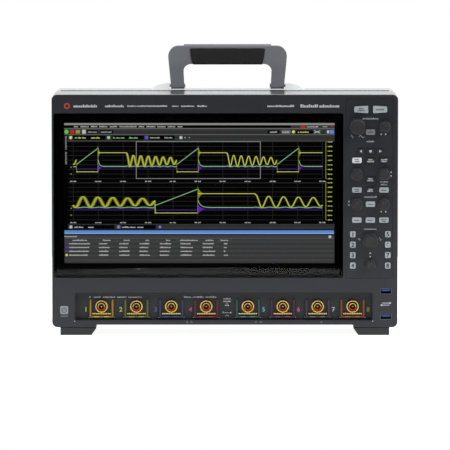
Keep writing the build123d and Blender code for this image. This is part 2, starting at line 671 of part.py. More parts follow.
def tilt_leg(side):
    """A flip-out leg: a plate with a round hinge end and two pins, thinner at its finger end."""
    half = TILT_THICKNESS / 2
    d, z = TILT_HINGE_DEPTH, TILT_HINGE_HEIGHT
    x = tilt_centre(side)
    plate = polygon((d, z - half), (d + TILT_LENGTH - 2, z - half + 0.6), (d + TILT_LENGTH, z), (d + TILT_LENGTH, z + 1.2),
                    (d + TILT_LENGTH - 3, z + half), (d, z + half))
    leg = side_prism(plate + Pos(d, z) * Circle(half), x - TILT_WIDTH / 2, x + TILT_WIDTH / 2)
    reach = TILT_WIDTH / 2 + TILT_PIN_LENGTH
    leg += cross_rod(x - reach, x + reach, d, z, TILT_PIN_RADIUS)
    return leg - span(x - 7, x + 7, d + TILT_LENGTH - 5, d + TILT_LENGTH + 1, z - half - 1, z - half + 1.4)


# ---- handle ----
def handle_half_widths(rise):
    """Outer and inner half widths of the splayed legs at a height above the pivot."""
    outer = (HANDLE_BASE + (HANDLE_TOP - HANDLE_BASE) * rise / HANDLE_HEIGHT) / 2
    inner = HANDLE_BASE / 2 - LEG_BASE + 0.055 * rise
    return outer, inner


def handle_frame():
    """The arch: two legs that splay upwards and thicken from the pivot eyes to the bar."""
    foot_outer, foot_inner = handle_half_widths(-EYE_RADIUS)
    top_outer, _ = handle_half_widths(HANDLE_HEIGHT)
    under = PIVOT_HEIGHT + HANDLE_HEIGHT - BAR_HEIGHT
    _, arch_inner = handle_half_widths(HANDLE_HEIGHT - BAR_HEIGHT)
    base = PIVOT_HEIGHT - EYE_RADIUS
    top = PIVOT_HEIGHT + HANDLE_HEIGHT
    outside = polygon((-foot_outer, base), (foot_outer, base), (top_outer, top), (-top_outer, top))
    outside = fillet(outside.vertices().sort_by(Axis.Y)[-2:], 13.0)
    inside = polygon((-foot_inner, base - 1), (foot_inner, base - 1), (arch_inner, under), (-arch_inner, under))
    inside = fillet(inside.vertices().sort_by(Axis.Y)[-2:], 9.5)
    face = Pos(HANDLE_X, 0) * (outside - inside)
    half = BAR_THICKNESS / 2
    d, z = PIVOT_DEPTH, PIVOT_HEIGHT
    shoulder = z + LEG_TAPER_HEIGHT
    side = polygon(
        (d - EYE_RADIUS, z), (d + EYE_RADIUS, z), (d + half, shoulder), (d + half, z + HANDLE_HEIGHT + 1),
        (d - half, z + HANDLE_HEIGHT + 1), (d - half, shoulder),
    )
    side = fillet(side.vertices().sort_by(Axis.Y)[2:4], LEG_TAPER_RADIUS) + Pos(d, z) * Circle(EYE_RADIUS)
    arch = prism(face, d - 20, d + 20) & side_prism(side, -HALF, HALF)
    crest = span(HANDLE_X - CREST_LENGTH / 2, HANDLE_X + CREST_LENGTH / 2, d - half, d + half,
                 top - BAR_HEIGHT / 2, top + CREST_RISE)
    crest = fillet(crest.edges().filter_by(Axis.X).sort_by(Axis.Z)[-2:], 3.0)
    arch += crest
    return arch - cross_rod(HANDLE_X - HANDLE_TOP, HANDLE_X + HANDLE_TOP, d, z, PIN_RADIUS + RUN_GAP)


def handle_grip():
    """The soft sleeve round the front, back and underside of the bar."""
    top = PIVOT_HEIGHT + HANDLE_HEIGHT + CREST_RISE - GRIP_DROP
    bottom = top - GRIP_HEIGHT
    upper = GRIP_LENGTH / 2
    lower = upper - GRIP_SLANT
    face = polygon((-lower, bottom), (lower, bottom), (upper - 1.6, bottom + GRIP_HEIGHT * 0.35), (upper, top - 1.2),
                   (upper - 1.2, top), (-upper + 1.2, top), (-upper, top - 1.2), (-upper + 1.6, bottom + GRIP_HEIGHT * 0.35))
    half = BAR_THICKNESS / 2 + GRIP_SKIN
    sleeve = prism(Pos(HANDLE_X, 0) * face, PIVOT_DEPTH - half, PIVOT_DEPTH + half)
    ends = sleeve.edges().filter_by(Axis.X).sort_by(Axis.Z)
    sleeve = fillet(ends[:2], 3.0)
    return sleeve - handle_frame()


def handle_pivots():
    """A low boss outside each leg, with the pin that the leg turns on and its retaining head."""
    outer, inner = handle_half_widths(0)
    solids = []
    for side in (-1, 1):
        near = outer + BOSS_GAP
        far = near + BOSS_WIDTH
        hump = polygon((near, 0), (far, 0), (far - 3, 2.5), (far - 9, 6.2), (near + 7, BOSS_HEIGHT), (near, BOSS_HEIGHT))
        profile = Pos(HANDLE_X, COVER_TOP) * (hump if side == 1 else mirror(hump, about=Plane.YZ))
        base = BOSS_LENGTH / 2
        crown = polygon(
            (PIVOT_DEPTH - base, COVER_TOP), (PIVOT_DEPTH + base - 2.5, COVER_TOP),
            (PIVOT_DEPTH + 7, COVER_TOP + BOSS_HEIGHT), (PIVOT_DEPTH - 7, COVER_TOP + BOSS_HEIGHT),
        )
        boss = prism(profile, 0, BODY_DEPTH) & side_prism(crown, -HALF, HALF)
        x_far = HANDLE_X + side * (near + 3)
        x_near = HANDLE_X + side * (inner - LEG_GAP)
        pin = cross_rod(min(x_far, x_near), max(x_far, x_near), PIVOT_DEPTH, PIVOT_HEIGHT, PIN_RADIUS)
        x_head = x_near - side * PIN_HEAD_THICKNESS
        head = cross_rod(min(x_near, x_head), max(x_near, x_head), PIVOT_DEPTH, PIVOT_HEIGHT, PIN_HEAD_RADIUS)
        solids.append(boss + pin + head)
    return solids


# ---- inside ----
def chassis():
    """The sheet-metal bulkhead and floor tray that the boards and supply are screwed to."""
    half = HALF - CHASSIS_MARGIN
    low = FOOT_HEIGHT + WALL + 3
    wall = span(-half, half, BULKHEAD_DEPTH, BULKHEAD_DEPTH + SHEET, low, BODY_TOP - CHASSIS_MARGIN)
    floor = span(-half, half, BULKHEAD_DEPTH, BODY_DEPTH - 12, low, low + SHEET)
    above_glass = (GLASS_Z1 + BODY_TOP - WALL) / 2
    under_glass = (BAY_TOP + WALL + GLASS_Z0) / 2
    to_bezel = [(x, above_glass) for x in (-180, 0, 130)] + [(x, under_glass) for x in (-180, -60, 60, 130)]
    posts = [rod(x, z, POST_RADIUS, FRONT_WALL, BULKHEAD_DEPTH) for x, z in to_bezel]
    to_board = [(FASCIA_X0 + 5, z) for z in (FASCIA_BOTTOM + 8, FASCIA_TOP - 14)]
    to_board += [(FASCIA_X1 - 5, z) for z in (FASCIA_BOTTOM + 8, FASCIA_TOP - 14)]
    posts += [rod(x, z, POST_RADIUS, BOARD_DEPTH + BOARD_THICKNESS, BULKHEAD_DEPTH) for x, z in to_board]
    return wall + floor + posts - span(-60, 60, BULKHEAD_DEPTH - 1, BULKHEAD_DEPTH + 3, 150, 230)


def acquisition_board():
    """The measuring board on the back of the bulkhead, with a finned heat sink for each pair of inputs."""
    depth = BULKHEAD_DEPTH + SHEET + BOARD_STANDOFF
    solids = [span(-HALF + 20, HALF - 20, depth, SINK_START, 26, 140)]
    for i in range(CHANNEL_COUNT // 2):
        x = channel_x(2 * i + 1) + CHANNEL_PITCH / 2
        sink = span(x - 30, x + 30, SINK_START, SINK_START + SINK_HEIGHT, 40, 110)
        fins = [span(x - 30 + 6 * n + 2, x - 30 + 6 * n + 6, SINK_START + 4, SINK_START + SINK_HEIGHT + 1, 39, 111)
                for n in range(9)]
        solids.append(sink - fins)
    return solids


def power_supply():
    """The closed mains supply in the floor tray, behind the heat sinks."""
    front = SINK_START + SINK_HEIGHT + SUPPLY_GAP
    back = BODY_DEPTH - SUPPLY_REAR_ROOM
    case = span(-HALF + 22, -HALF + 132, front, back, FOOT_HEIGHT + WALL + 3 + SHEET, 66)
    count = int((back - front - 10) // SUPPLY_SLOT_PITCH)
    starts = [front + 6 + SUPPLY_SLOT_PITCH * i for i in range(count)]
    return case - [span(-HALF + 30, -HALF + 124, start, start + 4, 65.2, 67) for start in starts]


def fan_frame():
    """The square fan body, with a hub on spokes that carries the rotor's shaft."""
    back = BODY_DEPTH - WALL
    front = back - FAN_DEPTH
    size = (FAN_SIZE, FAN_SIZE)
    frame = prism(centred(FAN_X, FAN_HEIGHT, size, 4.0), front, back)
    frame -= rod(FAN_X, FAN_HEIGHT, FAN_SIZE / 2 - 2, front - 1, back + 1)
    spokes = [
        prism(Pos(FAN_X, FAN_HEIGHT) * Rot(0, 0, angle) * Rectangle(FAN_SIZE - 2, 3.0), front, front + 3)
        for angle in (45, 135)
    ]
    hub = rod(FAN_X, FAN_HEIGHT, FAN_HUB_RADIUS - 1, front, front + 4)
    frame = frame + spokes + hub
    return frame - rod(FAN_X, FAN_HEIGHT, FAN_SHAFT_RADIUS + RUN_GAP, front - 1, front + 5)


def fan_rotor():
    """Hub, pitched blades and shaft, turning about a front-to-back axis."""
    back = BODY_DEPTH - WALL - 1.4
    front = back - FAN_DEPTH + 7
    hub = rod(FAN_X, FAN_HEIGHT, FAN_HUB_RADIUS, front, back)
    reach = FAN_SIZE / 2 - 3.5
    middle = (front + back) / 2
    blades = []
    for i in range(FAN_BLADES):
        blade = Pos((reach + FAN_HUB_RADIUS) / 2 - 2, 0, 0) * Rot(38, 0, 0) * Box(reach - FAN_HUB_RADIUS, 1.8, 22)
        blade = Rot(0, 360 / FAN_BLADES * i, 0) * blade
        blades.append(Pos(FAN_X, FRONT + middle, FAN_HEIGHT) * blade)
    rotor = hub + blades
    rotor = rotor & rod(FAN_X, FAN_HEIGHT, reach, front, back)
    return rotor + rod(FAN_X, FAN_HEIGHT, FAN_SHAFT_RADIUS, front - 5.5, front)


# ---- rear sockets ----
def rear_ports():
    """The metal plate of rear sockets: two stacked sockets, network, two displays and three coaxial sockets."""
    x0, x1, z0, z1 = PORT_PLATE
    back = BODY_DEPTH - WALL
    plate = span(x0, x1, back - SHEET, back, z0, z1)
    sockets = []
    z = PORT_HEIGHT

    def square_socket(x, width, height, hollows):
        body = span(x - width / 2, x + width / 2, back - 16, back + 1.5, z - height / 2, z + height / 2)
        for centre, wide, high, tongue in hollows:
            body -= span(x - wide / 2, x + wide / 2, back - 10, back + 3, z + centre - high / 2,
                         z + centre + high / 2)
            if tongue:
                body += span(x - wide / 2 + 1.5, x + wide / 2 - 1.5, back - 11, back - 0.5,
                             z + centre - tongue / 2, z + centre + tongue / 2)
        return body

    sockets.append(square_socket(x0 + 20, 14.4, 16.0, [(4.0, 12.6, 5.4, 1.8), (-4.0, 12.6, 5.4, 1.8)]))
    sockets.append(square_socket(x0 + 42, 16.4, 14.4, [(0.5, 12.0, 9.4, 0)]))
    sockets.append(square_socket(x0 + 68, 17.4, 7.0, [(0, 14.6, 4.6, 1.4)]))
    sockets.append(square_socket(x0 + 94, 17.4, 7.0, [(0, 14.6, 4.6, 1.4)]))
    for i in range(3):
        x = x0 + 126 + 27 * i
        sockets.append(turned(
            x, z,
            (0, back - 12), (7, back - 12), (7, back + 1.2), (BARREL_RADIUS, back + 1.2),
            (BARREL_RADIUS, back + 11), (BARREL_BORE, back + 11), (BARREL_BORE, back), (1.1, back),
            (1.1, back + 8), (0, back + 8),
        ))
    for socket in sockets:
        box = socket.bounding_box()
        plate -= Pos(box.center().X, FRONT + back, z) * Box(box.size.X + 0.4, 6, box.size.Z + 0.4)
    return [plate] + sockets


def power_inlet():
    """The three-pin mains inlet: a flanged socket with flat pins in its well."""
    x, z = INLET_X, INLET_HEIGHT
    body = prism(centred(x, z, INLET_FLANGE, 3.0), BODY_DEPTH, BODY_DEPTH + 2.2)
    body += prism(centred(x, z, INLET_BODY, 1.5), BODY_DEPTH - 22, BODY_DEPTH + 1)
    body -= prism(centred(x, z, INLET_WELL, 2.0), BODY_DEPTH - 14, BODY_DEPTH + 3)
    for dx, dz in ((-7.0, -2.0), (7.0, -2.0), (0.0, 2.0)):
        body += span(x + dx - 1, x + dx + 1, BODY_DEPTH - 15, BODY_DEPTH - INLET_PIN_RECESS, z + dz - 2, z + dz + 2)
    return body


def case_screws():
    """The six screws that hold the rear cover, each with a hexagon recess."""
    screws = []
    for x, z in screw_places():
        screw = rod(x, z, SCREW_HEAD_RADIUS, BODY_DEPTH, BODY_DEPTH + 2.2)
        screw = fillet(edges_at(screw, BODY_DEPTH + 2.2), 0.6)
        screw += rod(x, z, SCREW_RADIUS, BODY_DEPTH - SCREW_LENGTH, BODY_DEPTH)
        screws.append(screw - prism(Pos(x, z) * RegularPolygon(1.7, 6), BODY_DEPTH + 0.8, BODY_DEPTH + 3))
    return screws


def build():
    """Every sub-part by node name."""
    nodes = {
        "front_bezel": front_bezel(),
        "rear_cover": rear_cover(),
        "handle_frame": handle_frame(),
        "handle_grip": handle_grip(),
        "handle_pivots": handle_pivots(),
        "feet": feet(),
        "tilt_leg_left": tilt_leg(-1),
        "tilt_leg_right": tilt_leg(1),
        "touch_glass": touch_glass(),
        "display_module": display_module(),
        "control_fascia": control_fascia(),
        "control_board": control_board(),
        "input_panel": input_panel(),
        "channel_frames": channel_frames(),
        "input_connectors": input_connectors(),
        "contact_strips": contact_strips(),
        "probe_terminals": probe_terminals(),
        "front_usb_ports": front_usb_ports(),
        "chassis": chassis(),
        "acquisition_board": acquisition_board(),
        "power_supply": power_supply(),
        "fan_frame": fan_frame(),
        "fan_rotor": fan_rotor(),
        "rear_ports": rear_ports(),
        "power_inlet": power_inlet(),
        "case_screws": case_screws(),
        "key_power": power_key(),
    }
    for name, place in KEYS.items():
        nodes[name] = key(place, KEY_PROUD, KEY_BACK, STEM_END)
    for name, (x, z, style) in KNOBS.items():
        nodes[name] = knob(x, z, style)
    return nodes


def main():
    os.makedirs("parts", exist_ok=True)
    for name, shape in build().items():
        solids = [solid for item in (shape if isinstance(shape, list) else [shape]) for solid in item.solids()]
        export_step(Compound(children=solids) if len(solids) > 1 else solids[0], f"parts/{name}.step")


main()
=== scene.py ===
# %% [markdown]
# # A bench signal analyzer with eight inputs
# The case, keys, knobs, sockets and handle come from the CAD model, which is loaded here as a fixed frame.
# This lesson gives them their finishes and adds what is too fine or too flat to machine: the lit screen, the
# printed legends, the gold contact pads, the lamps under the inputs, a dark strip at the joint behind the
# bezel that is painted shade, and the small parts inside the sockets.

# %% Load the frame
import json
import math
import random

import bmesh
import bpy
from mathutils import Matrix, Vector


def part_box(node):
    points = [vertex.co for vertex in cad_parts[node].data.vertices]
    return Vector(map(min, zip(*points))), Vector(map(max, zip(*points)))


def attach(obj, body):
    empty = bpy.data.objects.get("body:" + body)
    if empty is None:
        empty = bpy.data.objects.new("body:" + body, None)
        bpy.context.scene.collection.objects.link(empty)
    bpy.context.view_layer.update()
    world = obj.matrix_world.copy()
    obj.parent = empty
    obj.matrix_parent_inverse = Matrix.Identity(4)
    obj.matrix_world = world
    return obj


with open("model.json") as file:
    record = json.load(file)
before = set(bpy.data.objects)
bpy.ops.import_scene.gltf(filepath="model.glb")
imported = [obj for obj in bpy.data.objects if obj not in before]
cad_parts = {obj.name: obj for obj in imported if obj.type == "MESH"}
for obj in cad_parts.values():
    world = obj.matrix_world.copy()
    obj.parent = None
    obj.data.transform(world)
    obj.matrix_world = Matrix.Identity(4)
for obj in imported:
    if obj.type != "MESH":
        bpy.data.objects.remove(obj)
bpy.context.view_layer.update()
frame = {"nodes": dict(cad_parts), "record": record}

MM = 0.001
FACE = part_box("front_bezel")[0].y
nodes = frame["nodes"]

# %% [markdown]
# ## Places
# Everything is placed in millimetres as a user sees it: x to the right, z up, and a depth behind the bezel's
# front face. The helpers below read where the CAD parts are, so no place is typed twice.

# %% Read places from the CAD parts
def at(x, depth, z):
    """A point in metres from millimetres across, behind the front face, and up."""
    return Vector((x * MM, FACE + depth * MM, z * MM))


def span_mm(node):
    """(x0, x1, depth0, depth1, z0, z1) of a CAD part, in millimetres."""
    low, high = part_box(node)
    return (low.x / MM, high.x / MM, (low.y - FACE) / MM, (high.y - FACE) / MM, low.z / MM, high.z / MM)


def centre_mm(node):
    """Middle of a CAD part: x, z and the depth of its front."""
    x0, x1, front, _, z0, z1 = span_mm(node)
    return (x0 + x1) / 2, (z0 + z1) / 2, front


places = {mount["name"]: mount["pos_m"] for mount in frame["record"]["mounts"]}
CHANNELS = [(places[f"input_{n}"][0] / MM, places[f"input_{n}"][2] / MM) for n in range(1, 9)]
print("input centres, mm:", [round(x, 1) for x, _ in CHANNELS])

# %% [markdown]
# ## Shader maths in plain arithmetic
# A material's pattern is a sum of small sums: a noise times a depth, a stripe minus a mask. Written with
# node calls that is hard to read, so a Wire wraps one output and lets Python's own operators add the Math
# nodes. A Finish is one material: a Principled shader and the single method that makes every other node.

# %% Wire: an output that can be added, multiplied and compared
class Wire:
    """One output socket. Arithmetic on it adds Math nodes to the same finish."""

    def __init__(self, finish, socket):
        self.finish = finish
        self.socket = socket

    def math(self, operation, *values):
        return self.finish.node("Math", {"operation": operation}, values)

    def __add__(self, other):
        return self.math("ADD", self, other)

    def __sub__(self, other):
        return self.math("SUBTRACT", self, other)

    def __rsub__(self, other):
        return self.math("SUBTRACT", other, self)

    def __mul__(self, other):
        return self.math("MULTIPLY", self, other)

    def __truediv__(self, other):
        return self.math("DIVIDE", self, other)

    def __gt__(self, other):
        return self.math("GREATER_THAN", self, other)

    def __pow__(self, other):
        return self.math("POWER", self, other)

    def sine(self):
        return self.math("SINE", self)

    def fraction(self):
        return self.math("FRACT", self)

    __radd__ = __add__
    __rmul__ = __mul__


# %% Finish: a Principled material and its nodes
def shade(red, green, blue):
    """A colour from a chart (0 to 255), turned into the linear colour that light adds up in."""
    def linear(value):
        share = value / 255
        return share / 12.92 if share <= 0.04045 else ((share + 0.055) / 1.055) ** 2.4
    return (linear(red), linear(green), linear(blue), 1.0)


class Finish:
    """One material. set() fills the shader's own sockets, and node() makes any other node."""

    def __init__(self, name, **sockets):
        self.material = bpy.data.materials.new(name)
        self.material.use_nodes = True
        self.tree = self.material.node_tree
        self.shader = self.tree.nodes["Principled BSDF"]
        self.set(**sockets)

    def fill(self, socket, value):
        if isinstance(value, Wire):
            self.tree.links.new(value.socket, socket)
        else:
            socket.default_value = value

    def set(self, **sockets):
        for name, value in sockets.items():
            self.fill(self.shader.inputs[name.replace("_", " ")], value)
        return self

    def node(self, kind, settings=None, sockets=(), out=0):
        """A node of a type, with its settings first and then its sockets, by place or by name."""
        made = self.tree.nodes.new("ShaderNode" + kind)
        for name, value in (settings or {}).items():
            if name == "stops":
                for stop, (position, colour) in zip(made.color_ramp.elements, value):
                    stop.position = position
                    stop.color = colour
            else:
                setattr(made, name, value)
        pairs = sockets.items() if isinstance(sockets, dict) else enumerate(sockets)
        for key, value in pairs:
            by_name = [s for s in made.inputs if key in (s.identifier, s.name)]
            self.fill(by_name[0] if by_name else made.inputs[key], value)
        by_name = [s for s in made.outputs if out in (s.identifier, s.name)]
        return Wire(self, by_name[0] if by_name else made.outputs[out])

    def place(self, scale=1000.0):
        """The point on the object, in millimetres at the usual scale."""
        point = self.node("TexCoord", out="Object")
        return self.node("VectorMath", {"operation": "SCALE"}, {"Vector": point, "Scale": scale}, "Vector")

    def axis(self, letter):
        """One coordinate of the point, in millimetres."""
        return self.node("SeparateXYZ", sockets=(self.place(),), out=letter)

    def noise(self, size, detail=2.0, stretch=None):
        """Soft random blotches of about this size in millimetres, from 0 to 1."""
        point = self.place()
        if stretch:
            point = self.node("VectorMath", {"operation": "MULTIPLY"}, (point, stretch), "Vector")
        sockets = {"Vector": point, "Scale": 1.0 / size, "Detail": detail}
        return self.node("TexNoise", sockets=sockets, out="Fac")

    def mix(self, share, first, second):
        """A colour between two colours."""
        sockets = {"Factor_Float": share, "A_Color": first, "B_Color": second}
        return self.node("Mix", {"data_type": "RGBA"}, sockets, "Result_Color")

    def vary(self, share, colour, darker, lighter):
        """One colour that turns a share darker or lighter over the surface."""
        return self.mix(share, tint(colour, -darker), tint(colour, lighter))

    def relief(self, height, depth, strength=1.0):
        """A bump from a height of 0 to 1 that stands for this many millimetres."""
        sockets = {"Height": height, "Distance": depth * MM, "Strength": strength}
        return self.set(Normal=self.node("Bump", sockets=sockets, out="Normal"))


def tint(colour, amount):
    """The same colour, lighter or darker by a share."""
    return tuple(min(1.0, part * (1 + amount)) for part in colour[:3]) + (1.0,)


# %% [markdown]
# ## Moulded plastic
# The bezel, cover, handle and feet are injection moulded, and the mould is spark-eroded, which leaves a
# fine even grain. A picture of such grain could be wrapped round, but it would stretch over the corners. A
# noise in the object's own millimetres has the right size everywhere, so that is used, with slow blotches
# that vary the gloss as handling does. The top faces of bezel and handle get finishes of their own: the
# bezel's top is glossier and a little lighter, the lighter tone a painted highlight, and the handle's top is
# darker and duller, a painted shade.

# %% Moulded plastic finishes
def moulded(name, colour, roughness, grain=0.45, depth=0.05, blotch=0.1, level=0.5, **sockets):
    finish = Finish(name, Specular_IOR_Level=level, **sockets)
    slow = finish.noise(38.0, 3.0)
    fine = finish.noise(grain, 1.0)
    specks = finish.noise(grain * 2.3, 2.0)
    finish.set(Base_Color=finish.vary(slow * 0.75 + fine * 0.25, colour, blotch, blotch))
    finish.set(Roughness=slow * 0.1 + specks * 0.08 + (roughness - 0.09))
    finish.relief(fine * 0.7 + specks * 0.3, depth)
    return finish.material


bezel_plastic = moulded("bezel_plastic", shade(42, 44, 48), 0.32, depth=0.02, level=0.3)
# The bezel's top faces: a glossier coat (real) in a slightly lighter tone, which is a painted highlight.
bezel_top_highlight = moulded("bezel_top_highlight", shade(48, 50, 53), 0.22, depth=0.004, level=0.4,
                    Coat_Weight=0.35, Coat_Roughness=0.08)
fascia_plastic = moulded("fascia_plastic", shade(38, 41, 45), 0.36, grain=0.3, depth=0.02, level=0.32)
cover_plastic = moulded("cover_plastic", shade(118, 122, 126), 0.3, grain=0.7, depth=0.02, blotch=0.04,
                        Coat_Weight=0.6, Coat_Roughness=0.12)
handle_plastic = moulded("handle_plastic", shade(137, 140, 145), 0.46, grain=0.5, level=0.3)
# A darker, duller copy of the handle plastic for its top faces: painted shade.
handle_top_shade = moulded("handle_top_shade", shade(92, 95, 99), 0.7, grain=0.5, level=0.05)
# The pivots are painted pale, near white: a painted reflection of the bright room, not the handle's own tone.
pivot_painted_reflection = moulded("pivot_painted_reflection", shade(204, 208, 207), 0.42, grain=0.5)
foot_plastic = moulded("foot_plastic", shade(45, 47, 50), 0.5, grain=0.6, depth=0.05, level=0.3)
bay_plastic = moulded("bay_plastic", shade(40, 43, 47), 0.4, grain=0.3, depth=0.02, level=0.3)
fan_plastic = moulded("fan_plastic", shade(22, 22, 24), 0.4, grain=0.4, depth=0.02)
inlet_plastic = moulded("inlet_plastic", shade(20, 20, 21), 0.35, grain=0.4, depth=0.02)
print("moulded finishes:", len(bpy.data.materials))

# %% [markdown]
# ## Grip, knobs and keys
# The grip is a soft sleeve with a leathery grain. The knobs are a hard plastic with a soft-touch coat,
# which scatters light at its edges, so they get a little sheen. The keys are silicone caps: the pale ones let
# light through, which a touch of subsurface scattering gives, and the dark ones are painted.

# %% Soft finishes
def grained_rubber():
    finish = Finish("grip_rubber", Sheen_Weight=0.08, Sheen_Roughness=0.5, Specular_IOR_Level=0.4)
    grain = finish.noise(0.6, 2.0)
    folds = finish.noise(2.4, 3.0, stretch=(0.25, 1.0, 1.0))
    dust = finish.noise(14.0, 4.0)
    finish.set(Base_Color=finish.mix(dust, shade(31, 29, 30), shade(40, 38, 38)))
    finish.set(Roughness=grain * 0.12 + 0.6)
    finish.relief(grain * 0.6 + folds * 0.4, 0.08)
    return finish.material


def soft_touch():
    finish = Finish("knob_plastic", Sheen_Weight=0.08, Sheen_Roughness=0.4, Specular_IOR_Level=0.35)
    fine = finish.noise(0.25, 1.0)
    worn = finish.noise(7.0, 3.0)
    finish.set(Base_Color=finish.mix(worn, shade(26, 26, 28), shade(34, 34, 36)))
    finish.set(Roughness=worn * 0.16 + 0.44)
    finish.relief(fine, 0.03)
    return finish.material


def key_cap(name, colour, glow=0.0):
    finish = Finish(name, Subsurface_Weight=0.12, Subsurface_Radius=(0.0012, 0.0012, 0.0012))
    finish.set(Coat_Weight=0.15, Coat_Roughness=0.35)
    fine = finish.noise(0.3, 1.0)
    cloud = finish.noise(3.5, 2.0)
    face = finish.vary(cloud, colour, 0.05, 0.05)
    finish.set(Base_Color=face, Roughness=fine * 0.1 + 0.42)
    if glow:
        finish.set(Emission_Color=face, Emission_Strength=glow)
    finish.relief(fine, 0.02)
    return finish.material


grip_rubber = grained_rubber()
knob_plastic = soft_touch()
key_light = key_cap("key_light", shade(156, 164, 167))
key_white = key_cap("key_white", shade(204, 206, 207), glow=0.1)
key_zoom_grey = key_cap("key_zoom_grey", shade(116, 119, 121))
key_dark = key_cap("key_dark", shade(22, 23, 26))
key_power_grey = key_cap("key_power_grey", shade(128, 137, 139))

# %% [markdown]
# ## Metals
# The input sockets and contact pads are gold over nickel, with slightly cloudy plating and fine tool marks.
# The chassis and port plates are zinc-plated sheet with a rolled grain along one direction and faint flowers
# of zinc crystals. The USB shells and screws are plated steel.

# %% Metal finishes
def plated(name, colour, roughness, size=1.6, metallic=1.0):
    finish = Finish(name, Metallic=metallic)
    cloud = finish.noise(size * 3, 3.0)
    tool = finish.noise(size * 0.16, 2.0)
    finish.set(Base_Color=finish.vary(cloud, colour, 0.14, 0.08))
    finish.set(Roughness=cloud * 0.1 + tool * 0.08 + (roughness - 0.09))
    finish.relief(tool, 0.012)
    return finish.material


def rolled_sheet(name, colour, roughness):
    finish = Finish(name, Metallic=0.9)
    grain = finish.noise(0.5, 3.0, stretch=(0.03, 1.0, 1.0))
    cells = finish.node("TexVoronoi", {"feature": "F1"}, {"Vector": finish.place(), "Scale": 0.16}, "Color")
    flowers = finish.node("SeparateColor", sockets=(cells,), out=0)
    finish.set(Base_Color=finish.vary(flowers * 0.5 + grain * 0.5, colour, 0.16, 0.1))
    finish.set(Roughness=flowers * 0.1 + grain * 0.14 + (roughness - 0.1))
    finish.relief(grain, 0.02)
    return finish.material


connector_gold = plated("connector_gold", shade(238, 208, 130), 0.28)
contact_gold = plated("contact_gold", shade(226, 196, 112), 0.34, size=0.8)
# Inside the sockets the lower gold is a lit orange copy and the upper gold a dark copy: painted light and
# painted shade.
lower_gold_painted_light = plated("lower_gold_painted_light", shade(196, 104, 34), 0.42)
shaded_gold = plated("shaded_gold", shade(92, 56, 26), 0.5)
bright_steel = plated("bright_steel", shade(198, 198, 196), 0.22)
screw_steel = plated("screw_steel", shade(46, 46, 48), 0.38)
sheet_steel = rolled_sheet("sheet_steel", shade(176, 179, 180), 0.36)
port_steel = rolled_sheet("port_steel", shade(150, 152, 154), 0.36)

# %% [markdown]
# ## Circuit board, fan and dark inlays
# Boards show only through the vents, yet they are there: green solder mask with slightly raised copper
# tracks. The tracks are two stripe patterns, one across the other, with a coarse mask choosing between them.

# %% Circuit board and insulator finishes
def circuit_board():
    finish = Finish("board_green", Coat_Weight=0.5, Coat_Roughness=0.15)
    rows = ((finish.axis("Z") / 1.9).fraction() > 0.62) * 1.0
    columns = ((finish.axis("X") / 2.3).fraction() > 0.66) * 1.0
    choose = finish.noise(9.0, 0.0) > 0.5
    tracks = rows * choose + columns * (1 - choose)
    finish.set(Base_Color=finish.mix(tracks, shade(14, 62, 38), shade(24, 92, 54)))
    finish.set(Roughness=0.34 + tracks * 0.08)
    finish.relief(tracks, 0.03)
    return finish.material


def smooth(name, colour, roughness, **sockets):
    """A plain hard part, with only slow changes of gloss and tone."""
    finish = Finish(name, **sockets)
    cloud = finish.noise(4.0, 3.0)
    finish.set(Base_Color=finish.vary(cloud, colour, 0.08, 0.08), Roughness=cloud * 0.12 + roughness)
    return finish.material


board_green = circuit_board()
socket_black = smooth("socket_black", shade(18, 18, 19), 0.4)
usb_blue = smooth("usb_blue", shade(20, 74, 156), 0.35)
shell_steel = plated("shell_steel", shade(104, 109, 116), 0.34)
# The insulators are dark orange-brown to match the gold deep in the socket: painted shade with a warm painted
# reflection.
insulator_dark = smooth("insulator_dark", shade(104, 58, 24), 0.45)
# The white of the pin tips is a painted highlight on the centre pins.
pin_painted_highlight = smooth("pin_painted_highlight", shade(226, 220, 206), 0.4, Subsurface_Weight=0.1)
silver_label = smooth("silver_label", shade(160, 162, 164), 0.35, Metallic=0.3)

# %% [markdown]
# ## Touch glass
# The glass is one clear sheet over the whole display, and the black border is paint on its back. So the
# glass itself is clear and smooth, and the border is a separate ring just behind it. The glass is coated
# against glare, so it reflects far less than bare glass: a low index of refraction stands for the coating.
# Faint smears change the gloss where fingers have been.

# %% Glass and border paint
def touch_glass_finish():
    finish = Finish("display_glass", Transmission_Weight=1.0, IOR=1.2)
    finish.set(Base_Color=(0.96, 0.97, 0.97, 1.0))
    smears = finish.noise(46.0, 4.0)
    finish.set(Roughness=smears * 0.02 + 0.01)
    return finish.material


display_glass = touch_glass_finish()
border_paint = smooth("border_paint", shade(3, 3, 3), 0.6, Specular_IOR_Level=0.0)
panel_back = rolled_sheet("panel_back", shade(150, 152, 153), 0.4)

# %% [markdown]
# ## Painting the CAD parts
# A CAD part keeps its shape and only gets a finish. Where one part needs several, as the channel frames do,
# each face takes the finish of the place where it lies.

